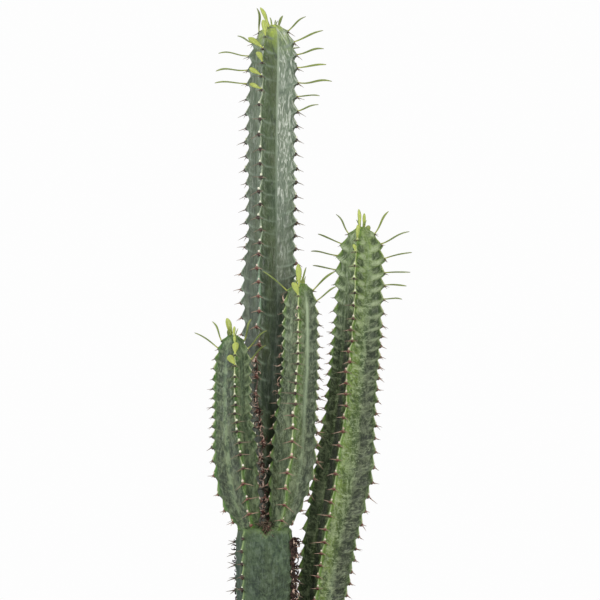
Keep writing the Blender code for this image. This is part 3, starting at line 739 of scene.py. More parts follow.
def tube_faces(rings, sides):
    """Faces of a tube with its closed ends as the last two points."""
    faces = []
    for ring in range(rings - 1):
        faces += band_faces(ring * sides, (ring + 1) * sides, sides)
    first, last = rings * sides, rings * sides + 1
    top = (rings - 1) * sides
    for k in range(sides):
        following = (k + 1) % sides
        faces.append((following, k, first))
        faces.append((top + k, top + following, last))
    return faces


def band_faces(first, second, count):
    """Faces between two rings of points, by the numbers that the rings start at."""
    following = [(k + 1) % count for k in range(count)]
    return [(first + k, first + f, second + f, second + k) for k, f in enumerate(following)]


def circle(radius, height, count):
    """Points of a ring round the upright axis."""
    turns = [math.tau * k / count for k in range(count)]
    return [(radius * math.cos(turn), radius * math.sin(turn), height) for turn in turns]


def round_form(segments, rings):
    """Unit directions of a closed round form and its faces."""
    points = [(0, 0, 1)]
    for ring in range(1, rings):
        tilt = math.pi * ring / rings
        points += circle(math.sin(tilt), math.cos(tilt), segments)
    points.append((0, 0, -1))
    faces = []
    for k in range(segments):
        following = (k + 1) % segments
        faces.append((0, 1 + k, 1 + following))
        for ring in range(rings - 2):
            a, b = 1 + ring * segments + k, 1 + ring * segments + following
            faces.append((a, a + segments, b + segments, b))
        lowest = 1 + (rings - 2) * segments
        faces.append((lowest + k, len(points) - 1, lowest + following))
    return points, faces


SPINE_SIDES = 6
SPINE_RADII = (1.35, 0.85, 0.58, 0.46, 0.36, 0.25, 0.1)  # millimetres, from the root to the point
SPINE_FACES = tube_faces(len(SPINE_RADII), SPINE_SIDES)
SPINE_MIDDLE = 0.45


def add_spine(heap, root, end, bend, thick, shade, old):
    """A curved tapering spine. bend is how far its middle is pushed off the straight line."""
    points, along = [], []
    middle = root.lerp(end, SPINE_MIDDLE) + bend
    for step, radius in enumerate(SPINE_RADII):
        share = step / (len(SPINE_RADII) - 1)
        centre = root.lerp(middle, share).lerp(middle.lerp(end, share), share)
        heading = (middle.lerp(end, share) - root.lerp(middle, share)).normalized()
        side = heading.orthogonal().normalized()
        other = heading.cross(side)
        for k in range(SPINE_SIDES):
            angle = math.tau * k / SPINE_SIDES
            points.append(centre + (side * math.cos(angle) + other * math.sin(angle)) * radius * MM * thick)
            along.append(share)
    points += [root, end]
    along += [0, 1]
    heap.add(points, SPINE_FACES, along=along, shade=shade, old=old)


# Shields and buds, in shares of their size
SHIELD_FORM = round_form(10, 7)
SHIELD_WIDE = 2.3
SHIELD_NARROWS = 0.8  # below its middle
SHIELD_ABOVE = 1.6
SHIELD_BELOW = 3.2
SHIELD_THICK = 1.5
SHIELD_TILT = 0.45  # radians that it leans down
BUD_FORM = round_form(8, 6)
BUD_WIDE, BUD_THICK, BUD_TALL = 1.45, 0.8, 1.6


def add_shield(heap, place, outward, sideways, up, size, shade, old):
    """A small horny plate over the tip of a tooth, broad above and narrow below."""
    points, height = [], []
    for x, y, z in SHIELD_FORM[0]:
        wide = (SHIELD_WIDE if z > 0 else SHIELD_WIDE + SHIELD_NARROWS * z) * size
        tall = (SHIELD_ABOVE if z > 0 else SHIELD_BELOW) * size
        thick = SHIELD_THICK * size
        points.append(place + sideways * x * wide + outward * y * thick + up * z * tall)
        height.append(z)
    heap.add(points, SHIELD_FORM[1], along=height, shade=shade, old=old)


def add_bud(heap, place, outward, sideways, up, size, shade, old):
    """A rounded cream bud in the corner above a shield."""
    points, height = [], []
    for x, y, z in BUD_FORM[0]:
        points.append(place + (sideways * x * BUD_WIDE + outward * y * BUD_THICK + up * z * BUD_TALL) * size)
        height.append(z)
    heap.add(points, BUD_FORM[1], along=height, shade=shade, old=old)


# A leaf: shares of its length, of its half width and of its thickness
LEAF_SECTIONS = (
    (0, 0.2, 1.1), (0.05, 0.2, 1), (0.12, 0.27, 0.95), (0.2, 0.42, 0.9), (0.3, 0.62, 0.85), (0.41, 0.8, 0.8),
    (0.52, 0.93, 0.75), (0.63, 1, 0.7), (0.73, 0.99, 0.65), (0.82, 0.88, 0.6), (0.9, 0.66, 0.55),
    (0.96, 0.38, 0.5), (0.99, 0.16, 0.4),
)
LEAF_HALF_THICKNESS = 0.75 * MM
LEAF_SIDES = 12
LEAF_FACES = tube_faces(len(LEAF_SECTIONS), LEAF_SIDES)
LEAF_FOLD = 0.3  # of its half width, how far its edges are turned up
LEAF_KEEL = 0.35  # of its half thickness, how far its underside stands out in the middle
LEAF_GROOVE = 0.3  # and how far its upper face is hollowed there


def add_leaf(heap, start, heading, sideways, face, length, width, dice, shade):
    """A fleshy spoon-shaped leaf with a keeled underside and a groove along its upper face."""
    twist = math.radians(dice.uniform(-16, 16))
    arch = dice.uniform(-0.005, 0.05)
    sway = dice.uniform(-0.03, 0.01)
    aside = dice.uniform(-0.06, 0.06)
    points, along, across = [], [], []

    def middle(share):
        rise = LEAF_RISE * share + arch * math.sin(math.pi * share) + sway * math.sin(math.tau * share)
        return start + (heading * share + face * rise + sideways * aside * share * share) * length

    for share, wide, thick in LEAF_SECTIONS:
        turn = twist * share
        flat = sideways * math.cos(turn) + face * math.sin(turn)
        upper = face * math.cos(turn) - sideways * math.sin(turn)
        half_width = width / 2 * wide
        half_thickness = LEAF_HALF_THICKNESS * thick
        for k in range(LEAF_SIDES):
            angle = math.tau * k / LEAF_SIDES
            u, v = math.cos(angle), math.sin(angle)
            fold = LEAF_FOLD * abs(u) ** 1.5 * half_width
            hollow = (LEAF_KEEL if v < 0 else LEAF_GROOVE) * half_thickness * (1 - abs(u))
            offset = flat * u * half_width + upper * (fold + v * half_thickness - hollow)
            points.append(middle(share) + offset)
            along.append(share)
            across.append(abs(u))
    points += [start, middle(1.0)]
    along += [0, 1]
    across += [0, 0]
    heap.add(points, LEAF_FACES, along=along, across=across, shade=shade)


CURL_SECTIONS = ((0, 0.7), (0.15, 1), (0.35, 0.9), (0.55, 0.75), (0.75, 0.5), (0.92, 0.3))
CURL_SIDES = 6
CURL_FACES = tube_faces(len(CURL_SECTIONS), CURL_SIDES)
CURL_THICKNESS = 0.45  # of its width
CURL_END = 0.06  # of its length, from the last section to its end


def add_curl(heap, root, outward, sideways, up, length, width, shade, dice):
    """A dried leaf stalk: a thin strip that curls back on itself."""
    turn = dice.uniform(0, math.tau)
    heading = outward * dice.uniform(0.3, 0.9) + sideways * math.cos(turn) + up * math.sin(turn) * 0.8
    heading.normalize()
    side = heading.cross(up + sideways * 0.3).normalized()
    lift = side.cross(heading)
    curl = dice.choice((-1, 1)) * dice.uniform(1.2, 3.4)
    points, along = [], []
    centre = root - outward * 0.8 * MM
    last = 0
    for share, wide in CURL_SECTIONS:
        angle = curl * share * share
        forward = heading * math.cos(angle) + lift * math.sin(angle)
        across = lift * math.cos(angle) - heading * math.sin(angle)
        centre = centre + forward * length * (share - last)
        last = share
        for k in range(CURL_SIDES):
            around = math.tau * k / CURL_SIDES
            offset = side * math.cos(around) + across * math.sin(around) * CURL_THICKNESS
            points.append(centre + offset * width * wide)
            along.append(share)
    points += [root - outward * 1.2 * MM, centre + forward * length * CURL_END]
    along += [0, 1]
    heap.add(points, CURL_FACES, along=along, shade=shade)


def tooth_spot(stem, rib, tooth, detail):
    """Where the tip of a tooth is, which way it faces, and how old it is."""
    height = tooth["height"]
    radius, _, _, turn = stem.at(height)[2:]
    angle = turn + rib * RIB_TURN
    spot = SimpleNamespace(rib=rib, height=height, below_tip=stem.tip - height)
    spot.outward, spot.sideways, spot.up = stem.directions(height, angle)
    spot.tip = stem.point(height - 0.3 * tooth["size"], angle, radius, tooth["swing"])
    spot.age = min(spot.below_tip / YOUNG_STEM_LENGTH, 1)
    spot.old = float(over(stem.ageing, spot.below_tip))
    spot.growth = (0.45 + 0.55 * spot.age) * detail.uniform(0.9, 1.1)
    spot.shade = detail.random()
    return spot


def grow_horn(shields, buds, stem, spot, detail):
    """The shield over the tip of a tooth, and the bud above it."""
    outward, sideways, up, growth = spot.outward, spot.sideways, spot.up, spot.growth
    cosine, sine = math.cos(SHIELD_TILT), math.sin(SHIELD_TILT)
    plate_out = (outward * cosine - up * sine).normalized()
    plate_up = (up * cosine + outward * sine).normalized()
    seat = spot.tip - outward * 0.7 * MM * growth - up * 0.3 * MM
    size = growth * stem.plate * MM
    add_shield(shields, seat, plate_out, sideways, plate_up, size, spot.shade, spot.old)
    size = growth * MM * detail.uniform(0.95, 1.25) * (1 + (stem.old_bead - 1) * spot.old)
    seat = spot.tip - outward * 1.1 * MM * growth + up * 2.9 * MM * growth
    seat += sideways * detail.uniform(-0.4, 0.4) * MM
    add_bud(buds, seat, outward, sideways, up, size, spot.shade, spot.old)


def spine_end(stem, neighbours, root, spot, side, dice, longer):
    """The end of a spine, swung outward and shortened until it is clear of the other stems."""
    young_share = stem.young_spines[spot.rib]
    length = SPINE_LENGTH * (young_share + (1 - young_share) * spot.age)
    length *= dice.uniform(*SPINE_LENGTHS) * longer * stem.spine_share
    if spot.rib % 2:
        length *= stem.side_spines
    out_share, side_share, up_share = SIDE_RIB_SPREAD if spot.rib % 2 else SPINE_SPREAD
    up_share += dice.uniform(-SPINE_SPREAD_VARIES, SPINE_SPREAD_VARIES)
    for swing in SPINE_SWINGS:
        heading = spot.outward * (out_share + swing / 2) + spot.up * up_share
        heading += spot.sideways * side * side_share * (1 - swing / 2)
        heading.normalize()
        for shorter in SPINE_CUTS:
            place = root + heading * length * shorter * SPINE_REACH
            own = max(stem.clearance(place), 0)
            if all(other.clearance(place) > own + SPINE_CLEARANCE for other in neighbours):
                return place
    return None


def grow_spines(heap, stem, neighbours, spot, dice, detail):
    """The spines of a tooth: one to each side and, on some stems, one straight out."""
    outward, sideways, up = spot.outward, spot.sideways, spot.up
    thick = max(spot.growth, stem.young_spines[spot.rib]) * stem.spine_thick
    for side in (-1, 1, 0)[: stem.spines]:
        root = spot.tip - outward * 1.0 * MM + sideways * side * 1.1 * MM * spot.growth - up * 0.6 * MM
        is_long = detail.random() < stem.long_spines * spot.age
        longer = detail.uniform(*LONG_SPINES) if is_long else 1
        end = spine_end(stem, neighbours, root, spot, side, dice, longer)
        if end and spot.below_tip > SPINELESS_TIP:
            reach = (end - root).length
            end += up * reach * detail.uniform(*stem.spine_rise)
            bend = up * reach * detail.uniform(-0.06, 0.1) + outward * reach * detail.uniform(0, 0.12)
            add_spine(heap, root, end, bend, thick, detail.random(), spot.old)


def grow_leaf(heap, spot, leaf, detail):
    """The leaf of a tooth. One with a width of its own turns its upper face to the stem."""
    outward, sideways, up = spot.outward, spot.sideways, spot.up
    length, lift, lean, *broad = leaf
    lift, lean = math.radians(lift), math.radians(lean)
    level = outward * math.cos(lean) + sideways * math.sin(lean)
    leaf_side = sideways * math.cos(lean) - outward * math.sin(lean)
    heading = level * math.cos(lift) + up * math.sin(lift)
    face = up * math.cos(lift) - level * math.sin(lift)
    start = spot.tip + up * 0.8 * MM - outward * 0.6 * MM
    width = broad[0] * MM if broad else LEAF_WIDTH * detail.uniform(0.85, 1.05)
    if broad:
        face = (face * 0.25 - (outward - heading * outward.dot(heading))).normalized()
        face = (face - heading * face.dot(heading)).normalized()
        leaf_side = heading.cross(face)
    bright = detail.uniform(0.8, 1) if broad else detail.uniform(0, 0.55)
    add_leaf(heap, start, heading, leaf_side, face, length * MM, width, detail, bright)


def grow_curls(heap, stem, spot, detail):
    """The dried stalks at a tooth, as its stem's rows for the rib and the height say."""
    for rib, low, high, count, shades, lengths, widths in stem.curls:
        if rib != spot.rib or not low * MM < spot.height < high * MM:
            continue
        clump = spot.up * detail.uniform(-4, 4) * MM
        for _ in range(round(count * detail.uniform(0.3, 1.3))):
            place = spot.tip + clump + spot.up * detail.uniform(-6, 6) * MM
            place += spot.sideways * detail.uniform(-1.8, 1.8) * MM
            shade = detail.uniform(*shades)
            length = detail.uniform(*lengths) * MM
            width = detail.uniform(*widths) * length
            add_curl(heap, place, spot.outward, spot.sideways, spot.up, length, width, shade, detail)


TIP_LEAVES = 6


def add_tip_leaves(heap, stem, dice):
    """The smallest leaves, which stand close together on the growing tip."""
    centre, across, back, up = stem.axes(stem.tip)
    radius = stem.at(stem.tip)[3]
    for k in range(TIP_LEAVES):
        angle = math.tau * (k + dice.uniform(-0.2, 0.2)) / TIP_LEAVES
        away = across * math.cos(angle) + back * math.sin(angle)
        aside = back * math.cos(angle) - across * math.sin(angle)
        lift = math.radians(dice.uniform(58, 80))
        heading = away * math.cos(lift) + up * math.sin(lift)
        face = up * math.cos(lift) - away * math.sin(lift)
        start = centre + away * radius * dice.uniform(0.4, 1)
        length, shade = dice.uniform(6, 12) * MM, dice.uniform(0, 0.9)
        add_leaf(heap, start, heading, aside, face, length, 1.9 * MM, dice, shade)


def dress_stem(name, stem, ribs, neighbours, dice, looks):
    """The shields, buds, spines, leaves and dry curls of a stem, each kind as one piece."""
    shields, buds, spines, leaves, curls = Heap(), Heap(), Heap(), Heap(), Heap()
    detail = random.Random(stem.seed + 200)
    for rib, teeth in enumerate(ribs):
        for number, tooth in enumerate(teeth):
            spot = tooth_spot(stem, rib, tooth, detail)
            if spot.below_tip > HORNLESS_TIP:
                grow_horn(shields, buds, stem, spot, detail)
            grow_spines(spines, stem, neighbours, spot, dice, detail)
            if number < len(stem.leaves[rib]):
                grow_leaf(leaves, spot, stem.leaves[rib][number], detail)
            grow_curls(curls, stem, spot, detail)
    if not stem.flat_top:
        add_tip_leaves(leaves, stem, detail)
    shields.to_object(f"{name}_shields", looks["shield"], "spine")
    buds.to_object(f"{name}_buds", looks["bud"], "spine")
    spines.to_object(f"{name}_spines", looks["spine"], "spine")
    if leaves.points:
        leaves.to_object(f"{name}_leaves", looks["leaf"], "leaf")
    if curls.points:
        curls.to_object(f"{name}_dry_curls", looks["dry"], "spine")


FORK_SPINES = 46
FORK_CURLS = 14
TUFT_SEED = 41


def make_fork_tuft(looks):
    """The tuft of old red-brown spines and withered stalks in the fork between the arms."""
    dice = random.Random(TUFT_SEED)
    tuft, curls = Heap(), Heap()
    front, right, up = Vector((0, -1, 0)), Vector((1, 0, 0)), Vector((0, 0, 1))
    for number in range(FORK_SPINES + FORK_CURLS):
        x = FORK_PLACE[0] + dice.gauss(0, 3.2)
        z = TRUNK_TOP_LEVEL + 3.5 + dice.uniform(-6, 10)
        root = Vector((x, FORK_PLACE[1] + 7, z)) * MM
        heading = front * dice.uniform(0.5, 1.2) + right * dice.uniform(-1, 1) + up * dice.uniform(-0.9, 0.6)
        length = dice.uniform(6, 13) * MM
        if number < FORK_SPINES:
            end = root + heading.normalized() * length
            bend = (right * dice.uniform(-1, 1) + up * dice.uniform(-1, 1)) * 1.2 * MM
            add_spine(tuft, root, end, bend, dice.uniform(0.6, 1), dice.uniform(0, 0.5), 0.1)
        else:
            root += front * 4 * MM
            shade = dice.uniform(0, 0.5)
            width = dice.uniform(0.5, 1.2) * MM
            add_curl(curls, root, front, right, up, 0.7 * length, width, shade, dice)
    tuft.to_object("fork_spines", looks["spine"], "spine")
    curls.to_object("fork_dry_curls", looks["dry"], "spine")


# The pot, a turned clay pot with a band round its rim
POT_HEIGHT = 230 * MM
POT_FOOT_RADIUS = 95 * MM
POT_FOOT_BEVEL = 3 * MM
POT_WALL = 8 * MM
POT_FLOOR = 12 * MM
POT_BAND_HEIGHT = 48 * MM
POT_NECK_RADIUS = 121 * MM
POT_NECK_BEVEL = 1.2 * MM
POT_BAND_RADIUS = 130 * MM
POT_BAND_ROUND = 3.5 * MM
POT_BAND_LOW = POT_HEIGHT - POT_BAND_HEIGHT
POT_BAND_INNER = POT_BAND_RADIUS - 2 * POT_BAND_ROUND - POT_WALL / 2
POT_SEGMENTS = 180
POT_STEP = 3 * MM
DRAIN_HOLES = 3
DRAIN_RADIUS = 6 * MM
DRAIN_RING_RADIUS = 45 * MM
DRAIN_SEGMENTS = 40


def arc(centre_radius, centre_height, radius, start, end, steps):
    """Points of a profile round a corner, between two angles in degrees."""
    points = []
    for k in range(steps + 1):
        angle = math.radians(start + (end - start) * k / steps)
        points.append((centre_radius + radius * math.cos(angle), centre_height + radius * math.sin(angle)))
    return points


def inner_radius(height):
    """The inner face of the pot's tapered wall."""
    outer = POT_FOOT_RADIUS + (POT_NECK_RADIUS - POT_FOOT_RADIUS) * height / POT_BAND_LOW
    return outer - POT_WALL


def with_steps(profile, step):
    """The same profile with its long stretches cut into steps."""
    points = [profile[0]]
    for start, end in zip(profile, profile[1:]):
        count = max(1, round(math.dist(start, end) / step))
        for k in range(1, count + 1):
            share = k / count
            points.append((start[0] + (end[0] - start[0]) * share, start[1] + (end[1] - start[1]) * share))
    return points


def turned(profile, segments):
    """Points and faces of a solid of revolution from a profile that starts and ends on the axis."""
    points = [point for radius, height in profile[1:-1] for point in circle(radius, height, segments)]
    points += [(0, 0, profile[0][1]), (0, 0, profile[-1][1])]
    return points, tube_faces(len(profile) - 2, segments)


def make_pot(material):
    """The turned pot, with slight waves from the wheel, and its drain holes cut through."""
    edge = POT_BAND_RADIUS - POT_BAND_ROUND
    rim = POT_HEIGHT - POT_BAND_ROUND
    profile = [
        (0, 0),
        *arc(POT_FOOT_RADIUS - POT_FOOT_BEVEL, POT_FOOT_BEVEL, POT_FOOT_BEVEL, -90, 0, 5),
        (POT_NECK_RADIUS - POT_NECK_BEVEL, POT_BAND_LOW - POT_NECK_BEVEL),
        (POT_NECK_RADIUS, POT_BAND_LOW),
        *arc(edge, POT_BAND_LOW + POT_BAND_ROUND, POT_BAND_ROUND, -90, 0, 6),
        *arc(edge, rim, POT_BAND_ROUND, 0, 90, 6),
        *arc(POT_BAND_INNER + POT_BAND_ROUND, rim, POT_BAND_ROUND, 90, 180, 6),
        (inner_radius(POT_BAND_LOW), POT_BAND_LOW),
        (inner_radius(POT_FLOOR), POT_FLOOR),
        (0, POT_FLOOR),
    ]
    points, faces = turned(with_steps(profile, POT_STEP), POT_SEGMENTS)
    points = np.array(points)
    radius = np.hypot(points[:, 0], points[:, 1])
    angle = np.arctan2(points[:, 1], points[:, 0])
    wheel = np.sin(points[:, 2] / (5.3 * MM) + 1.3 * np.sin(angle)) * 0.12 * MM
    wheel += np.sin(points[:, 2] / (17 * MM) + 2 * angle) * 0.18 * MM
    wheel += noise_of(points, 55, 9) * 0.35 * MM
    wheel *= smooth(points[:, 2] / (6 * MM)) * (radius > POT_FOOT_RADIUS - POT_FOOT_BEVEL)
    points[:, :2] *= (1 + wheel / np.maximum(radius, MM))[:, None]
    pot = add_object("pot_turned", points, faces, material, node="pot")
    for k in range(DRAIN_HOLES):
        turn = math.tau * (k + 0.5) / DRAIN_HOLES
        place = (DRAIN_RING_RADIUS * math.cos(turn), DRAIN_RING_RADIUS * math.sin(turn), POT_FLOOR / 2)
        drill(pot, place, DRAIN_RADIUS, 2 * POT_FLOOR)


def drill(piece, place, radius, depth):
    """Cuts a round hole and keeps the result in the piece's own mesh."""
    mesh = bpy.data.meshes.new("drill")
    shape = bmesh.new()
    bmesh.ops.create_cone(
        shape, cap_ends=True, segments=DRAIN_SEGMENTS, radius1=radius, radius2=radius, depth=depth
    )
    shape.to_mesh(mesh)
    shape.free()
    cutter = bpy.data.objects.new("drill", mesh)
    cutter.location = place
    bpy.context.scene.collection.objects.link(cutter)
    modifier = piece.modifiers.new("hole", "BOOLEAN")
    modifier.operation = "DIFFERENCE"
    modifier.object = cutter
    bpy.context.view_layer.update()
    result = bpy.data.meshes.new_from_object(piece.evaluated_get(bpy.context.evaluated_depsgraph_get()))
    piece.modifiers.clear()
    piece.data = result
    bpy.data.objects.remove(cutter)


SOIL_RINGS = 70
SOIL_SEGMENTS = 200
SOIL_ROUGH = 1.6 * MM
SOIL_MOUND = 3 * MM
SOIL_MOUND_REACH = 12 * MM
SOIL_GAP = 0.3 * MM  # to the pot
# Where the two rooted stems stand, and where no grains lie: x, y and radius in millimetres
MOUNDS = ((-25, 2, 31), (33.5, 14, 18))
BARE_PLACES = ((-25, 2, 32), (34, 14, 20))


def soil_level(x, y):
    """Height of the soil's surface, lumpy and heaped a little against the stems."""
    place = Vector((x, y, 0))
    lumps = noise.noise(place * 38) + 0.6 * noise.noise(place * 95) + 0.45 * noise.noise(place * 240)
    mound = 0.0
    for stem_x, stem_y, radius in MOUNDS:
        gap = math.hypot(x - stem_x * MM, y - stem_y * MM) - radius * MM
        mound = max(mound, math.exp(-((max(gap, 0) / SOIL_MOUND_REACH) ** 2)))
    return SOIL_HEIGHT + SOIL_ROUGH * lumps + SOIL_MOUND * mound


def soil_radius(height):
    """Inside the wall of the pot or, above its neck, inside its band."""
    if height < POT_BAND_LOW:
        return inner_radius(height)
    rise = (height - POT_BAND_LOW) / (POT_HEIGHT - POT_BAND_ROUND - POT_BAND_LOW)
    return inner_radius(POT_BAND_LOW) + (POT_BAND_INNER - inner_radius(POT_BAND_LOW)) * rise


def make_soil(material):
    """The soil: its rough surface, and its plain body down to the floor of the pot."""
    count = SOIL_SEGMENTS
    reach = soil_radius(SOIL_HEIGHT) - SOIL_GAP
    points, faces = [], []
    for ring in range(SOIL_RINGS):
        level_ring = circle(reach * (1 - ring / SOIL_RINGS), 0, count)
        points += [(x, y, soil_level(x, y)) for x, y, _ in level_ring]
    for ring in range(SOIL_RINGS - 1):
        faces += band_faces(ring * count, (ring + 1) * count, count)
    last = (SOIL_RINGS - 1) * count
    faces += [(last + k, last + (k + 1) % count, len(points)) for k in range(count)]
    points.append((0, 0, soil_level(0, 0)))
    above = 0
    for height in (POT_BAND_LOW, POT_FLOOR + SOIL_GAP):
        faces += band_faces(len(points), above, count)
        above = len(points)
        points += circle(soil_radius(height) - SOIL_GAP, height, count)
    faces += [(above + (k + 1) % count, above + k, len(points)) for k in range(count)]
    points.append((0, 0, POT_FLOOR + SOIL_GAP))
    add_object("soil_bed", points, faces, material, node="soil")


GRAIN_SEED = 77
GRAIN_FORM = round_form(7, 5)
GRAIN_SEAT = 0.35  # of its half height, that a grain lies above the soil
GRAINS_FROM_WALL = 5 * MM
# Look of the grains, their number, their sizes in millimetres, flatness, greatest length and width
GRAINS = {
    "soil_crumbs": ("crumb", 900, (1.0, 2.6), (0.7, 1.0), None, 1),
    "soil_bark_chips": ("bark", 260, (2.4, 6.5), (0.28, 0.6), 1.7, 0.7),
    "soil_perlite": ("perlite", 90, (0.9, 1.9), (0.75, 1.0), None, 1),
}


def make_grains(looks):
    """Crumbs of earth, chips of bark and a few pale perlite grains lying on the soil."""
    dice = random.Random(GRAIN_SEED)
    for name, (look, count, sizes, flatness, longest, wide) in GRAINS.items():
        heap = Heap()
        made = 0
        while made < count:
            radius = (soil_radius(SOIL_HEIGHT) - GRAINS_FROM_WALL) * math.sqrt(dice.random())
            angle = dice.uniform(0, math.tau)
            x, y = radius * math.cos(angle), radius * math.sin(angle)
            if any(math.hypot(x - px * MM, y - py * MM) < bare * MM for px, py, bare in BARE_PLACES):
                continue
            size = dice.uniform(*sizes) * MM / 2
            flat = dice.uniform(*flatness)
            tilts = dice.uniform(-0.5, 0.5), dice.uniform(-0.5, 0.5), dice.uniform(0, math.tau)
            turn = Euler(tilts).to_matrix()
            centre = Vector((x, y, soil_level(x, y) + size * flat * GRAIN_SEAT))
            long = dice.uniform(1, longest) if longest else 1
            points = []
            for direction in GRAIN_FORM[0]:
                rough = 1 + 0.45 * noise.noise(Vector(direction) * 1.9 + centre * 900)
                shape = Vector((direction[0] * long, direction[1] * wide, direction[2] * flat))
                points.append(centre + turn @ (shape * size * rough))
            heap.add(points, GRAIN_FORM[1], shade=dice.random())
            made += 1
        heap.to_object(name, looks[look], "soil")


def linear(colour):
    """A colour in linear light from its everyday code, with two hexadecimal digits for each of its parts."""
    values = [(colour >> shift & 255) / 255 for shift in (16, 8, 0)]
    return tuple(v / 12.92 if v <= 0.04045 else ((v + 0.055) / 1.055) ** 2.4 for v in values)


class Tree:
    """A material's nodes, added and joined in short calls. Colours are given as codes."""

    def __init__(self, name):
        self.material = bpy.data.materials.new(name)
        self.material.use_nodes = True
        self.nodes = self.material.node_tree.nodes
        self.links = self.material.node_tree.links
        self.shader = self.nodes["Principled BSDF"]

    def join(self, source, socket):
        """Sets a socket to a number, a vector or a colour, or links it to an output."""
        if isinstance(source, bpy.types.NodeSocket):
            self.links.new(source, socket)
        else:
            socket.default_value = (*linear(source), 1.0) if socket.type == "RGBA" else source

    def add(self, kind, inputs, **settings):
        node = self.nodes.new(f"ShaderNode{kind}")
        for name, setting in settings.items():
            setattr(node, name, setting)
        for name, source in inputs.items():
            self.join(source, node.inputs[name])
        return node

    def value(self, name):
        return self.add("Attribute", {}, attribute_name=name).outputs["Fac"]

    def place(self, stretch=(1, 1, 1)):
        coordinates = self.add("TexCoord", {}).outputs["Object"]
        return self.add("Mapping", {"Scale": stretch, "Vector": coordinates}).outputs["Vector"]

    def noise(self, scale, detail=3, roughness=0.55, stretch=(1, 1, 1), distortion=0.0):
        return self.noise_at(self.place(stretch), scale, detail, roughness, distortion)

    def noise_at(self, place, scale, detail, roughness, distortion):
        inputs = {"Vector": place, "Scale": scale, "Detail": detail, "Roughness": roughness}
        return self.add("TexNoise", {**inputs, "Distortion": distortion}).outputs["Fac"]

    def cells(self, scale, stretch):
        inputs = {"Vector": self.place(stretch), "Scale": scale}
        return self.add("TexVoronoi", inputs).outputs["Distance"]

    def math(self, operation, first, second, clamp=False):
        node = self.add("Math", {0: first, 1: second}, operation=operation, use_clamp=clamp)
        return node.outputs["Value"]

    def times(self, first, *shares):
        """The product of some shares, held between 0 and 1."""
        for share in shares:
            first = self.math("MULTIPLY", first, share, clamp=True)
        return first

    def span(self, source, low, high, out_low=0.0, out_high=1.0):
        """The source's span from low to high, spread over another span and held inside it."""
        inputs = {"Value": source, "From Min": low, "From Max": high, "To Min": out_low, "To Max": out_high}
        return self.add("MapRange", inputs, interpolation_type="SMOOTHSTEP").outputs["Result"]

    def mix(self, share, first, second):
        node = self.add("Mix", {"Factor": share, "A": first, "B": second}, data_type="RGBA")
        return node.outputs["Result"]

    def paint(self, base, colour, *shares):
        """The base with a colour over it, as strong as the product of the shares."""
        return self.mix(self.times(*shares), base, colour)

    def ramp(self, source, *stops):
        node = self.add("ValToRGB", {"Fac": source})
        elements = node.color_ramp.elements
        while len(elements) < len(stops):
            elements.new(0.5)
        for element, (place, colour) in zip(elements, stops):
            element.position = place
            element.color = (*linear(colour), 1.0)
        return node.outputs["Color"]

    def bump(self, height, strength, distance, normal=None):
        inputs = {"Strength": strength, "Distance": distance, "Height": height}
        if normal:
            inputs["Normal"] = normal
        return self.add("Bump", inputs).outputs["Normal"]

    def finish(self, colour, roughness, normal, specular=0.5):
        self.join(colour, self.shader.inputs["Base Color"])
        self.join(roughness, self.shader.inputs["Roughness"])
        self.join(specular, self.shader.inputs["Specular IOR Level"])
        if normal:
            self.join(normal, self.shader.inputs["Normal"])
        return self.material


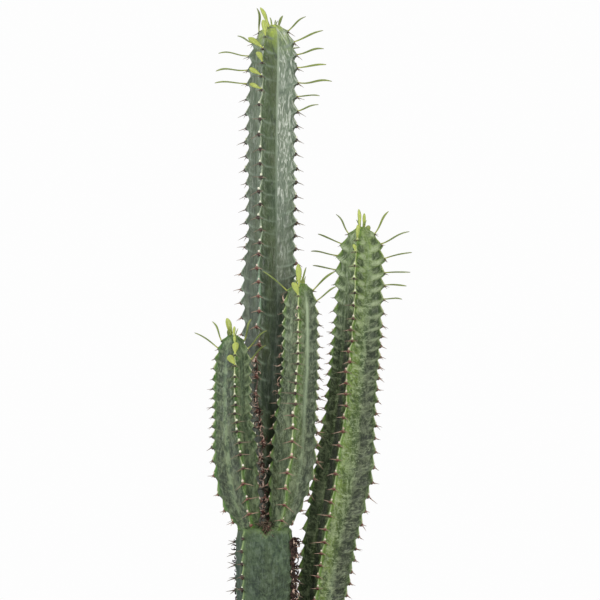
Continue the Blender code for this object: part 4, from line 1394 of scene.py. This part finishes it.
def skin_look(name, look):
    """Waxy green skin: lime at the tip, darker with age, with pale wax bloom under painted sheen, lines on
    ribs and valleys, painted highlight streaks, and painted light and shade by face and on the humps.
    """
    tree = Tree(name)
    below_tip, away, level = tree.value("below_tip"), tree.value("away"), tree.value("level")
    bloom_and_sheen, hump, tint = tree.value("bloom_and_sheen"), tree.value("hump"), tree.value("tint")
    page = tree.math("MULTIPLY", tree.value("face"), FACE_SHIFT)

    def by_age(*stops):
        longest = stops[-1][0]
        age = tree.math("DIVIDE", below_tip, longest * MM, clamp=True)
        return tree.ramp(age, *((place / longest, colour) for place, colour in stops))

    def face_noise(x, y, roughness, distortion):
        """Noise in the coordinates of a face, one cell wide at 1."""
        place = tree.add("CombineXYZ", {"X": x, "Y": y, "Z": page}).outputs["Vector"]
        return tree.noise_at(place, 1, 3, roughness, distortion)

    base = by_age(*look["ages"])
    blue, olive, pale, dark = look["mottle"]
    base = tree.paint(base, olive, tree.span(tree.noise(30, 3, 0.55, (1, 1, 0.5)), 0.38, 0.64), 0.55)
    base = tree.paint(base, blue, tree.span(tree.noise(22, 3, 0.55, (1, 1, 0.4), 0.4), 0.5, 0.7), 0.45)
    # Painted light on the lit faces and painted shade on the shaded faces
    painted_light_colour, painted_shade_colour = look["tints"]
    uneven = tree.span(tree.noise(75, 4, 0.65, (1, 1, 0.6), 0.5), 0.34, 0.58, 0.12, 1)
    base = tree.paint(base, painted_light_colour, tint, uneven, 0.9)
    painted_shade = tree.times(tint, -1)
    base = tree.paint(base, painted_shade_colour, painted_shade, tree.span(uneven, 0, 1, 0.6, 1), 0.9)
    clouds = tree.noise(105, 3, 0.6, (1, 1, 0.55), 0.6)
    base = tree.paint(base, pale, tree.span(clouds, 0.51, 0.6), look["clouds"])
    base = tree.paint(base, dark, tree.span(clouds, 0.48, 0.38), look["clouds"])
    strokes = tree.noise(*look["strokes"])
    base = tree.paint(base, pale, tree.span(strokes, 0.5, 0.68), look["stroke_share"])
    base = tree.paint(base, dark, tree.span(strokes, 0.46, 0.3), 0.75)
    base = tree.paint(base, pale, tree.span(tree.noise(520, 2, 0.5, (1, 1, 1.3)), 0.6, 0.7), look["flecks"])
    # Painted highlight on the humps and painted shade in the hollows between them
    base = tree.paint(base, pale, tree.span(hump, 0.1, 0.9), 0.7)
    base = tree.paint(base, dark, tree.span(hump, -0.1, -0.9), 0.75)

    line_width, line_length, light_lines, dark_lines, far_lines = look["lines"]
    slant = tree.math("DIVIDE", tree.math("ADD", level, away), line_width)
    fall = tree.math("DIVIDE", tree.math("SUBTRACT", level, away), line_length)
    lines = face_noise(slant, fall, 0.6, 0.3)
    near_rib = tree.span(away, 5, 17, 1, far_lines)
    base = tree.paint(base, pale, tree.span(lines, 0.53, 0.66), near_rib, light_lines)
    base = tree.paint(base, dark, tree.span(lines, 0.47, 0.34), near_rib, dark_lines)
    # More painted shade on the shaded faces, over the lines and strokes
    base = tree.paint(base, painted_shade_colour, painted_shade, 0.6)

    folds = face_noise(tree.math("DIVIDE", away, 2.6), tree.math("DIVIDE", level, 12), 0.55, 0.9)
    # Wax bloom with painted sheen, and painted highlight and painted shade on its folds
    bloom_and_sheen_share, bloom_and_sheen_fades, bloom_and_sheen_rest = look["bloom_and_sheen_share"]
    bloom_and_sheen_share = tree.span(below_tip, 2 * MM, 10 * MM, 0.3 * bloom_and_sheen_share, bloom_and_sheen_share)
    bloom_and_sheen = tree.times(bloom_and_sheen, tree.span(below_tip, 0.6 * bloom_and_sheen_fades * MM, bloom_and_sheen_fades * MM, 1, bloom_and_sheen_rest))
    base = tree.paint(base, look["bloom"], bloom_and_sheen, bloom_and_sheen_share)
    base = tree.paint(base, look["bloom_sheen_highlight"], tree.span(folds, 0.5, 0.64), bloom_and_sheen, 0.85)
    base = tree.paint(base, look["bloom_sheen_shade"], tree.span(folds, 0.47, 0.36), bloom_and_sheen, 0.6)
    edge_colour, edge_share = look["edge"]
    base = tree.paint(base, edge_colour, tree.value("edge"), edge_share)
    # Painted highlight streaks inward from the teeth, broken by noise
    broken_highlight = tree.span(tree.noise(70, 2, 0.5), 0.3, 0.6)
    base = tree.paint(base, look["bloom"], tree.value("streak"), broken_highlight, look["highlight_streaks"])
    brown = tree.span(tree.noise(120, 3, 0.6), 0.38, 0.6)
    base = tree.paint(base, 0x362C26, tree.value("shield"), brown, 0.8)
    seam_share, seam_young, seam_old, seam_reach = look["seam"]
    seam = tree.span(below_tip, 0, seam_reach * MM, seam_share, 0.25 * seam_share)
    base = tree.paint(base, by_age((0, seam_young), (seam_reach, seam_old)), tree.value("valley"), seam)
    broken = tree.span(tree.noise(90, 2, 0.6), *look["stripe_breaks"])
    base = tree.paint(base, by_age(*look["stripe"]), tree.value("crest"), broken, 0.95)
    scars = tree.span(tree.cells(95, (1, 1, 1.6)), 0.0, 0.09, 1, 0)
    base = tree.paint(base, 0xAAB298, scars, tree.span(tree.noise(40, 2), 0.56, 0.62), 0.55)

    roughness = tree.span(folds, 0.35, 0.65, look["roughness"] + 0.08, look["roughness"] - 0.06)
    wrinkles = tree.bump(folds, look["wrinkles"], 1.6 * MM)
    knobs = tree.bump(strokes, 0.5, 0.8 * MM, wrinkles)
    grain = tree.bump(tree.noise(700, 3, 0.6), 0.35, 0.25 * MM, knobs)
    return tree.finish(base, roughness, grain, look["gloss"])


def dry_look():
    """Dried leaf stalks: pinkish tan, darker where they wither."""
    tree = Tree("dry")
    stops = (0, 0x0C0907), (0.4, 0x54362E), (0.55, 0xC49C8A), (1, 0xF4DECC)
    colour = tree.ramp(tree.value("shade"), *stops)
    colour = tree.mix(tree.span(tree.value("along"), 0.0, 0.3, 0.4, 0), colour, 0x4E2E26)
    worn = tree.span(tree.noise(420, 3), 0.4, 0.7)
    colour = tree.paint(colour, 0x967868, worn, 0.25)
    normal = tree.bump(tree.noise(900, 2), 0.3, 0.15 * MM)
    return tree.finish(colour, tree.span(worn, 0, 1, 0.6, 0.8), normal, 0.3)


def shield_look():
    """Horn: nearly black when young, later red-brown and worn pinkish."""
    tree = Tree("horn")
    shade, old = tree.value("shade"), tree.value("old")
    young = tree.mix(shade, 0x1A1414, 0x302420)
    aged = tree.mix(shade, 0x46221E, 0x683C34)
    colour = tree.mix(old, young, aged)
    worn = tree.span(tree.noise(500, 3), 0.45, 0.7)
    colour = tree.paint(colour, 0x967664, worn, 0.4)
    upper = tree.span(tree.value("along"), 0.1, 1.0)
    colour = tree.paint(colour, 0xB08474, upper, old, 0.55)
    normal = tree.bump(tree.noise(900, 3), 0.4, 0.2 * MM)
    return tree.finish(colour, tree.span(worn, 0, 1, 0.4, 0.6), normal)


def bud_look():
    """Buds: cream, pinkish with age, with a brown foot."""
    tree = Tree("bud")
    shade, old = tree.value("shade"), tree.value("old")
    young = tree.mix(shade, 0xF6F6E4, 0xE4E8C8)
    aged = tree.mix(shade, 0xF6EAE0, 0xDEBEAE)
    colour = tree.mix(old, young, aged)
    colour = tree.paint(colour, 0x8C5848, tree.span(tree.value("along"), -0.3, -1.0), 0.8)
    colour = tree.paint(colour, 0xB49C7E, tree.span(tree.noise(800, 3), 0.5, 0.7), 0.3)
    normal = tree.bump(tree.noise(1200, 2), 0.3, 0.15 * MM)
    return tree.finish(colour, tree.span(tree.noise(600), 0.3, 0.7, 0.45, 0.65), normal)


def spine_look():
    """Spines: grey-brown when young, red-brown at the root and pale tan beyond when old."""
    tree = Tree("spine")
    along = tree.value("along")
    grey_stops = (0, 0x362A24), (0.3, 0x5C5044), (0.75, 0x80725E), (1, 0x3C3028)
    warm_stops = (0, 0x542A24), (0.15, 0x805446), (0.4, 0xB0927E), (1, 0x806456)
    old = tree.math("MULTIPLY", tree.value("old"), 0.75)
    share = tree.math("ADD", old, tree.math("MULTIPLY", tree.value("shade"), 0.25), clamp=True)
    colour = tree.mix(share, tree.ramp(along, *grey_stops), tree.ramp(along, *warm_stops))
    worn = tree.span(tree.noise(420, 3), 0.4, 0.7)
    colour = tree.paint(colour, 0xB0A48C, worn, 0.3)
    normal = tree.bump(tree.noise(900, 2), 0.3, 0.12 * MM)
    return tree.finish(colour, tree.span(worn, 0, 1, 0.4, 0.6), normal)


def leaf_look():
    """Leaves: olive green, yellow at the root, with a pale vein, a darker rim and a brown tip."""
    tree = Tree("leaf")
    across = tree.value("across")
    stops = (
        (0, 0xCCCC64), (0.14, 0x9EA64C), (0.35, 0x7A8A48), (0.75, 0x8C9C54),
        (0.96, 0x96A05C), (1, 0x685434),
    )
    base = tree.ramp(tree.value("along"), *stops)
    base = tree.paint(base, 0xCEDA68, tree.span(tree.value("shade"), 0.25, 0.9), 0.6)
    base = tree.paint(base, 0xCCD68C, tree.span(across, 0.0, 0.3, 1, 0), 0.35)
    base = tree.paint(base, 0x6C783E, tree.span(across, 0.85, 1.0), 0.45)
    mottled = tree.span(tree.noise(240, 3, 0.6), 0.4, 0.7)
    base = tree.paint(base, 0x6C883E, mottled, 0.3)
    normal = tree.bump(tree.noise(500, 3), 0.35, 0.2 * MM)
    return tree.finish(base, tree.span(mottled, 0, 1, 0.4, 0.55), normal)


def clay_look():
    """Fired clay with turning lines, fine grit and pale lime blooms by the foot and the rim."""
    tree = Tree("fired_clay")
    base = tree.mix(tree.span(tree.noise(9, 4, 0.6), 0.35, 0.65), 0xB06646, 0xC27856)
    turning = tree.noise(30, 4, 0.7, (0.06, 0.06, 12))
    lines = tree.span(turning, 0.35, 0.7)
    base = tree.paint(base, 0xA0583C, lines, 0.35)
    base = tree.paint(base, 0x7A422E, tree.span(tree.noise(900, 2, 0.6), 0.58, 0.72), 0.5)
    base = tree.paint(base, 0xDEB292, tree.span(tree.noise(620, 2, 0.5), 0.62, 0.76), 0.5)
    height = tree.add("SeparateXYZ", {"Vector": tree.place()}).outputs["Z"]
    low = tree.math("MULTIPLY", tree.span(height, 0.0, 0.07, 1, 0), 0.75)
    high = tree.math("MULTIPLY", tree.span(height, 0.17, 0.226, 0, 1), 0.45)
    lime = tree.span(tree.noise(16, 5, 0.7, (1, 1, 0.7)), 0.45, 0.75)
    base = tree.paint(base, 0xDECCBA, lime, tree.math("ADD", low, high), 0.9)
    base = tree.paint(base, 0x8C4E36, tree.span(tree.noise(7, 3, 0.5, (1, 1, 1.6)), 0.5, 0.8), 0.3)
    grit = tree.bump(tree.noise(1400, 3, 0.7), 0.5, 0.3 * MM, tree.bump(turning, 0.35, 1 * MM))
    return tree.finish(base, tree.span(lines, 0, 1, 0.85, 0.74), grit, 0.3)


def earth_look(name, dark, light):
    """Potting soil: crumbly, with damp places that are darker and less rough."""
    tree = Tree(name)
    colour = tree.mix(tree.span(tree.noise(300, 5, 0.7), 0.35, 0.7), dark, light)
    damp = tree.span(tree.noise(24, 3), 0.4, 0.7)
    colour = tree.paint(colour, dark, damp, 0.4)
    normal = tree.bump(tree.noise(600, 5, 0.75), 0.8, 0.8 * MM)
    return tree.finish(colour, tree.span(damp, 0, 1, 0.95, 0.8), normal, 0.25)


def grain_look(name, dark, light):
    """Loose grains, each in a shade of its own, with fibres."""
    tree = Tree(name)
    colour = tree.mix(tree.value("shade"), dark, light)
    fibres = tree.span(tree.noise(500, 4, 0.7, (1, 0.3, 1)), 0.4, 0.7)
    colour = tree.paint(colour, dark, fibres, 0.4)
    normal = tree.bump(tree.noise(900, 3), 0.6, 0.3 * MM)
    return tree.finish(colour, tree.span(fibres, 0, 1, 0.9, 0.75), normal, 0.3)


def floor_look():
    tree = Tree("studio_floor")
    return tree.finish(tree.mix(tree.noise(6, 3), 0xECECEB, 0xF4F4F3), 0.7, None, 0.2)


# The studio. The camera is level and far off, and its frame is FRAME_WIDTH wide at the plant
FRAME_WIDTH = 0.75
FRAME_CENTRE = Vector((0.01625, 0, 0.68))
CAMERA_DISTANCE = 4.5
SENSOR_WIDTH = 36
WORLD_LIGHT = 0.34
BACKDROP = 0.985
LIGHT_TARGET = Vector((0, 0, 0.6))
# Azimuth and elevation of each light in degrees, its distance, size, power and colour
LIGHTS = {
    "key": (17, 10, 3.2, (0.9, 1.9), 46, (1, 0.985, 0.96)),
    "fill": (-72, 14, 3.2, (1.2, 2.0), 44, (0.98, 0.99, 1)),
    "top": (10, 75, 3.0, (2.0, 2.0), 20, (1, 1, 1)),
    "back": (170, 30, 3.4, (2.2, 2.0), 30, (1, 1, 1)),
}
FLOOR_RADIUS = 2.6
FLOOR_TOP = -0.5 * MM
FLOOR_BOTTOM = -20 * MM
FLOOR_SEGMENTS = 96


def add_light(name, azimuth, elevation, distance, size, power, colour):
    lamp = bpy.data.lights.new(name, "AREA")
    lamp.shape = "RECTANGLE"
    lamp.size, lamp.size_y = size
    lamp.energy = power
    lamp.color = colour
    light = bpy.data.objects.new(name, lamp)
    a, e = math.radians(azimuth), math.radians(elevation)
    away = Vector((math.sin(a) * math.cos(e), -math.cos(a) * math.cos(e), math.sin(e)))
    light.location = LIGHT_TARGET + away * distance
    light.rotation_euler = (-away).to_track_quat("-Z", "Y").to_euler()
    light.visible_camera = False
    bpy.context.scene.collection.objects.link(light)


def make_studio():
    """The camera, an even light from all round, a near-white backdrop, four lights and the floor."""
    scene = bpy.context.scene
    scene.view_settings.view_transform = "Standard"
    lens = bpy.data.cameras.new("camera")
    lens.sensor_width = SENSOR_WIDTH
    lens.lens = SENSOR_WIDTH * CAMERA_DISTANCE / FRAME_WIDTH
    camera = bpy.data.objects.new("camera", lens)
    camera.location = FRAME_CENTRE + Vector((0, -CAMERA_DISTANCE, 0))
    camera.rotation_euler = (math.pi / 2, 0, 0)
    scene.collection.objects.link(camera)
    scene.camera = camera

    world = bpy.data.worlds.new("studio")
    world.use_nodes = True
    nodes, links = world.node_tree.nodes, world.node_tree.links
    background = nodes["Background"]
    background.inputs["Color"].default_value = (1, 1, 1, 1)
    background.inputs["Strength"].default_value = WORLD_LIGHT
    seen = nodes.new("ShaderNodeBackground")
    seen.inputs["Color"].default_value = (BACKDROP, BACKDROP, BACKDROP, 1)
    path = nodes.new("ShaderNodeLightPath")
    either = nodes.new("ShaderNodeMixShader")
    links.new(path.outputs["Is Camera Ray"], either.inputs[0])
    links.new(background.outputs[0], either.inputs[1])
    links.new(seen.outputs[0], either.inputs[2])
    links.new(either.outputs[0], nodes["World Output"].inputs["Surface"])
    scene.world = world

    for name, light in LIGHTS.items():
        add_light(name, *light)

    profile = [(0, FLOOR_BOTTOM), (FLOOR_RADIUS, FLOOR_BOTTOM), (FLOOR_RADIUS, FLOOR_TOP), (0, FLOOR_TOP)]
    points, faces = turned(profile, FLOOR_SEGMENTS)
    mesh = bpy.data.meshes.new("floor")
    mesh.from_pydata(points, [], faces)
    mesh.materials.append(floor_look())
    floor = bpy.data.objects.new("floor", mesh)
    scene.collection.objects.link(floor)


# How the skin of each stem is coloured. Every row has a value for each stem, in their order in STEMS
SKINS = {
    # colours at millimetres below the tip
    "ages": (
        ((0, 0x708854), (4, 0x3C5438), (60, 0x2C3C2A), (183, 0x2A3826)),
        ((0, 0xDEF060), (14, 0xC4DE5A), (34, 0x749240), (44, 0x546C36), (70, 0x4C6036), (270, 0x425434),
         (330, 0x3A4636), (430, 0x2C382A), (630, 0x222E22)),
        ((0, 0x6E8E3C), (10, 0x4E6838), (30, 0x384E34), (120, 0x384C2C), (243, 0x3E4E2E)),
        ((0, 0x78963A), (12, 0x506834), (40, 0x3C4E2E), (160, 0x38482E), (308, 0x36482E)),
        ((0, 0xA0B854), (14, 0x809A48), (60, 0x60783A), (130, 0x3E562E), (562, 0x34462A)),
    ),
    # blue, olive, pale and dark
    "mottle": (
        (0x324846, 0x404E2A, 0x687C5C, 0x1C2A22),
        (0x2E423A, 0x4C5430, 0x708066, 0x222E24),
        (0x2E4436, 0x46582C, 0x96A67A, 0x182416),
        (0x34463E, 0x545C2C, 0xA0AE88, 0x1E2A1A),
        (0x384E3C, 0x586A2E, 0xBACA9E, 0x1A2A18),
    ),
    "clouds": (0.35, 0.28, 0.5, 0.45, 0.3),
    # scale, detail, roughness, stretch and distortion of their noise
    "strokes": (
        (170, 4, 0.65, (1, 1, 1.5), 0.8),
        (80, 4, 0.6, (1, 1, 0.35), 0.7),
        (190, 4, 0.7, (1, 1, 0.8), 0.6),
        (200, 4, 0.7, (1, 1, 0.9), 0.6),
        (150, 4, 0.7, (0.7, 0.7, 1.7), 0.8),
    ),
    "stroke_share": (0.5, 0.22, 0.7, 0.65, 0.7),
    "flecks": (0.4, 0.15, 0.6, 0.6, 0.45),
    # colour of the wax bloom with its painted sheen, also that of the painted highlight streaks
    "bloom": (0x607468, 0x889884, 0x7C8C70, 0x80907A, 0x849670),
    # share of the wax bloom with its painted sheen, where in millimetres it fades, and what is left there
    "bloom_and_sheen_share": (
        (0.1, 100, 0.5),
        (0.55, 280, 0.3),
        (0.25, 120, 0.7),
        (0.2, 120, 0.7),
        (0.45, 160, 0.1),
    ),
    # painted highlight and painted shade on the folds of the bloom
    "bloom_sheen_highlight": (0x687A68, 0xC8D0C2, 0x8C9C82, 0x8E9E80, 0xB0BEA0),
    "bloom_sheen_shade": (0x24302C, 0x4A5C4C, 0x283C30, 0x2E3E30, 0x304430),
    # width and length in millimetres, share of the light and the dark, and what is left far off
    "lines": (
        (3.0, 12, 0.35, 0.35, 0.7),
        (2.4, 12, 0.6, 0.5, 0.2),
        (3.0, 10, 0.4, 0.4, 0.5),
        (3.0, 10, 0.4, 0.4, 0.5),
        (3.2, 12, 0.5, 0.45, 0.6),
    ),
    # colours of the painted light on the lit faces and of the painted shade on the shaded faces
    "tints": (
        (0x4C5C30, 0x2C3E3C),
        (0x607634, 0x46484A),
        (0x6E8E3C, 0x0C1408),
        (0x6A8634, 0x121E0E),
        (0x8AA644, 0x121A0E),
    ),
    # colour and share
    "edge": ((0x5C7C42, 0.35), (0x466038, 0.3), (0x467422, 0.85), (0x588026, 0.8), (0x608428, 0.9)),
    # share of the painted highlight streaks
    "highlight_streaks": (0.1, 0.75, 0.2, 0.2, 0.3),
    # share, young and old colour, and reach in millimetres
    "seam": (
        (0.0, 0x788C6E, 0x788C6E, 180),
        (1.0, 0xB2C4A8, 0x607062, 420),
        (0.35, 0x7C9270, 0x6E8468, 240),
        (1.0, 0xB4C6A2, 0x788A6E, 300),
        (0.5, 0xAABE96, 0x50684C, 110),
    ),
    # colours at millimetres below the tip
    "stripe": (
        ((0, 0x96AC70), (183, 0x829664)),
        ((0, 0xC4D496), (40, 0xCED8B8), (260, 0xBECEB0), (330, 0x96B498), (372, 0x889E86),
         (400, 0x684E44), (600, 0x544036)),
        ((0, 0xBECE82), (80, 0xD8D8B4), (170, 0x96A870), (243, 0x5C7442)),
        ((0, 0xBECE82), (80, 0xDEDEBA), (210, 0xB0BE88), (308, 0x6E864E)),
        ((0, 0xBAC878), (100, 0xD2DAAA), (300, 0xACC08A), (562, 0x768E56)),
    ),
    # span of the noise that breaks the stripe
    "stripe_breaks": ((0.25, 0.5), (0.0, 0.3), (0.36, 0.5), (0.34, 0.48), (0.3, 0.48)),
    "roughness": (0.6, 0.33, 0.46, 0.46, 0.48),
    "gloss": (0.35, 0.5, 0.45, 0.45, 0.45),
    "wrinkles": (0.25, 0.7, 0.45, 0.4, 0.3),
}

# How the ribs of each stem grow, besides its plain ways and in the same units. swing is how far its
# teeth stand aside, ageing where below its tip its horn turns old, and humps the height, the reach
# and the lasting share of the swellings by the young teeth. Each row of curls holds a rib, a span of
# heights, a number for each tooth, and spans of shade, length and width for the length
WAYS = {
    "trunk": {
        "swing": 0.9, "ageing": (200, 300), "humps": (0.15, 100, 0.4), "valley_width": 1,
        "flat_top": True, "tooth": 0.8, "reach": 0.16, "ridges": 0.5, "plate": 2.1,
        "spines": 3, "spine_share": 1.15, "spine_thick": 1.5, "spine_rise": (-0.1, 0.6),
        "curls": (
            (3, 215, 392, 4, (0, 0.2), (5, 9), (0.16, 0.3)),
            (1, 215, 392, 26, (0, 0.12), (7, 14), (0.14, 0.28)),
            (1, 215, 392, 6, (0, 0.4), (9, 15), (0.06, 0.1)),
            (1, 215, 392, 3, (0.6, 1), (7, 12), (0.14, 0.28)),
            (1, 300, 392, 5, (0.65, 1), (8, 14), (0.08, 0.15)),
        ),
        "stripe": (0.7, 1.1), "hump_tone": 0, "tints": (-0.5, 0.3, 0.2, -0.5, 0.4, -0.4, 0.4, -0.5),
    },
    "stem_tall": {
        "swing": 2.6, "ageing": (250, 320), "humps": (0.9, 60, 0.2), "valley_width": 1.2,
        "foot_blend": 0.3, "plate": 1.15, "old_bead": 0.65,
        "spine_share": 0.85, "spine_rise": (-0.2, 0.2),
        "curls": (
            (0, 392, 620, 5, (0.6, 1), (6, 11), (0.08, 0.16)),
            (0, 392, 560, 3, (0.5, 1), (6, 11), (0.06, 0.12)),
            (0, 392, 600, 7, (0, 0.3), (6, 11), (0.1, 0.22)),
        ),
        "stripe_from": (50, 85), "old_stripe": 1.7, "streak_reach": 15,
        "bloom_sides": (0.9, 0.12, 1, 0.5, 0.7, 0.3, 0.8, 0.4),
        "seam_sides": (0.3, 1, 1, 0.3, 0.6, 0.6, 0.3, 0.3), "tints": (0, 0.1, 0, -0.2, 0, 0.2, 0, -0.2),
    },
    "arm_left": {
        "swing": 1.6, "ageing": (120, 200), "humps": (1.5, 80, 0.3), "valley_width": 1.6,
        "foot_blend": 0.3, "ridges": 1.5, "old_bead": 0.95,
        "spine_share": 0.9, "side_spines": 0.6, "long_spines": 0.3,
        "stripe": (0.6, 1.5), "dim_beyond": 0.6, "tints": (-0.9, 0.9, 0.2, 0.3, -0.4, 0.3, -0.9, -0.8),
    },
    "arm_right": {
        "swing": 1.6, "ageing": (130, 200), "humps": (1.4, 80, 0.25), "valley_width": 2.2,
        "foot_blend": 0.3, "ridges": 1.5, "old_bead": 0.95,
        "spine_share": 0.9, "side_spines": 0.7, "long_spines": 0.4,
        "curls": (
            (3, 560, 690, 1, (0.5, 0.7), (7, 13), (0.05, 0.1)),
            (0, 640, 690, 1, (0.8, 1), (6, 11), (0.06, 0.1)),
        ),
        "stripe": (0.6, 1.5),
        "seam_sides": (0.1, 1, 1, 0.3, 0.6, 0.6, 0.3, 0.1),
        "tints": (-0.3, 1, -0.75, 0.2, -0.4, 0.3, -0.5, -0.3),
    },
    "stem_right": {
        "swing": 2.8, "ageing": (70, 170), "humps": (3.2, 120, 0.12), "valley_width": 0.8,
        "old_tooth": 0.62, "ridges": 2.2, "old_bead": 0.75,
        "spine_share": 0.8, "side_spines": 0.8, "long_spines": 0.1,
        "stripe": (0.6, 1.3), "hump_tone": 2.2, "tint_reach": 20, "shade_from": (40, 170),
        "bloom_sides": (0.8, 0.2, 0.25, 0.5, 0.8, 0.4, 0.7, 0.9),
        "seam_sides": (0.2, 1, 1, 0.3, 0.6, 0.6, 0.3, 0.2),
        "tints": (-0.9, 0.9, -0.8, 0.3, -0.4, 0.5, -0.4, -0.6),
    },
}

# Rows, leaves, seed, radius of the round root in millimetres, and the height that it goes down to
STEMS = {
    "trunk": (TRUNK_ROWS, NO_LEAVES, 11, 29, ROOT_FLOOR),
    "stem_tall": (TALL_ROWS, TALL_LEAVES, 12, 10, SOCKET_FLOOR),
    "arm_left": (ARM_LEFT_ROWS, ARM_LEFT_LEAVES, 13, 8, SOCKET_FLOOR),
    "arm_right": (ARM_RIGHT_ROWS, ARM_RIGHT_LEAVES, 14, 8, SOCKET_FLOOR),
    "stem_right": (STEM_RIGHT_ROWS, STEM_RIGHT_LEAVES, 15, 16, ROOT_FLOOR),
}


def main():
    looks = {
        "shield": shield_look(),
        "bud": bud_look(),
        "spine": spine_look(),
        "leaf": leaf_look(),
        "dry": dry_look(),
        "crumb": grain_look("crumbs", 0x2C2018, 0x543E2E),
        "bark": grain_look("bark", 0x402A1C, 0x805A3C),
        "perlite": grain_look("perlite", 0xCECAC2, 0xECEAE4),
    }
    stems = {name: Stem(*form, WAYS[name]) for name, form in STEMS.items()}
    for number, (name, stem) in enumerate(stems.items()):
        neighbours = [other for other in stems.values() if other is not stem]
        dice = random.Random(stem.seed)
        ribs = make_teeth(stem, dice)
        skin = skin_look(f"{name}_skin", {key: values[number] for key, values in SKINS.items()})
        grow_skin(name, stem, ribs, skin).name = f"{name}_skin"
        dress_stem(name, stem, ribs, neighbours, dice, looks)
    make_fork_tuft(looks)
    make_pot(clay_look())
    make_soil(earth_look("potting_soil", 0x241A14, 0x4E3A2C))
    make_grains(looks)
    make_studio()


main()
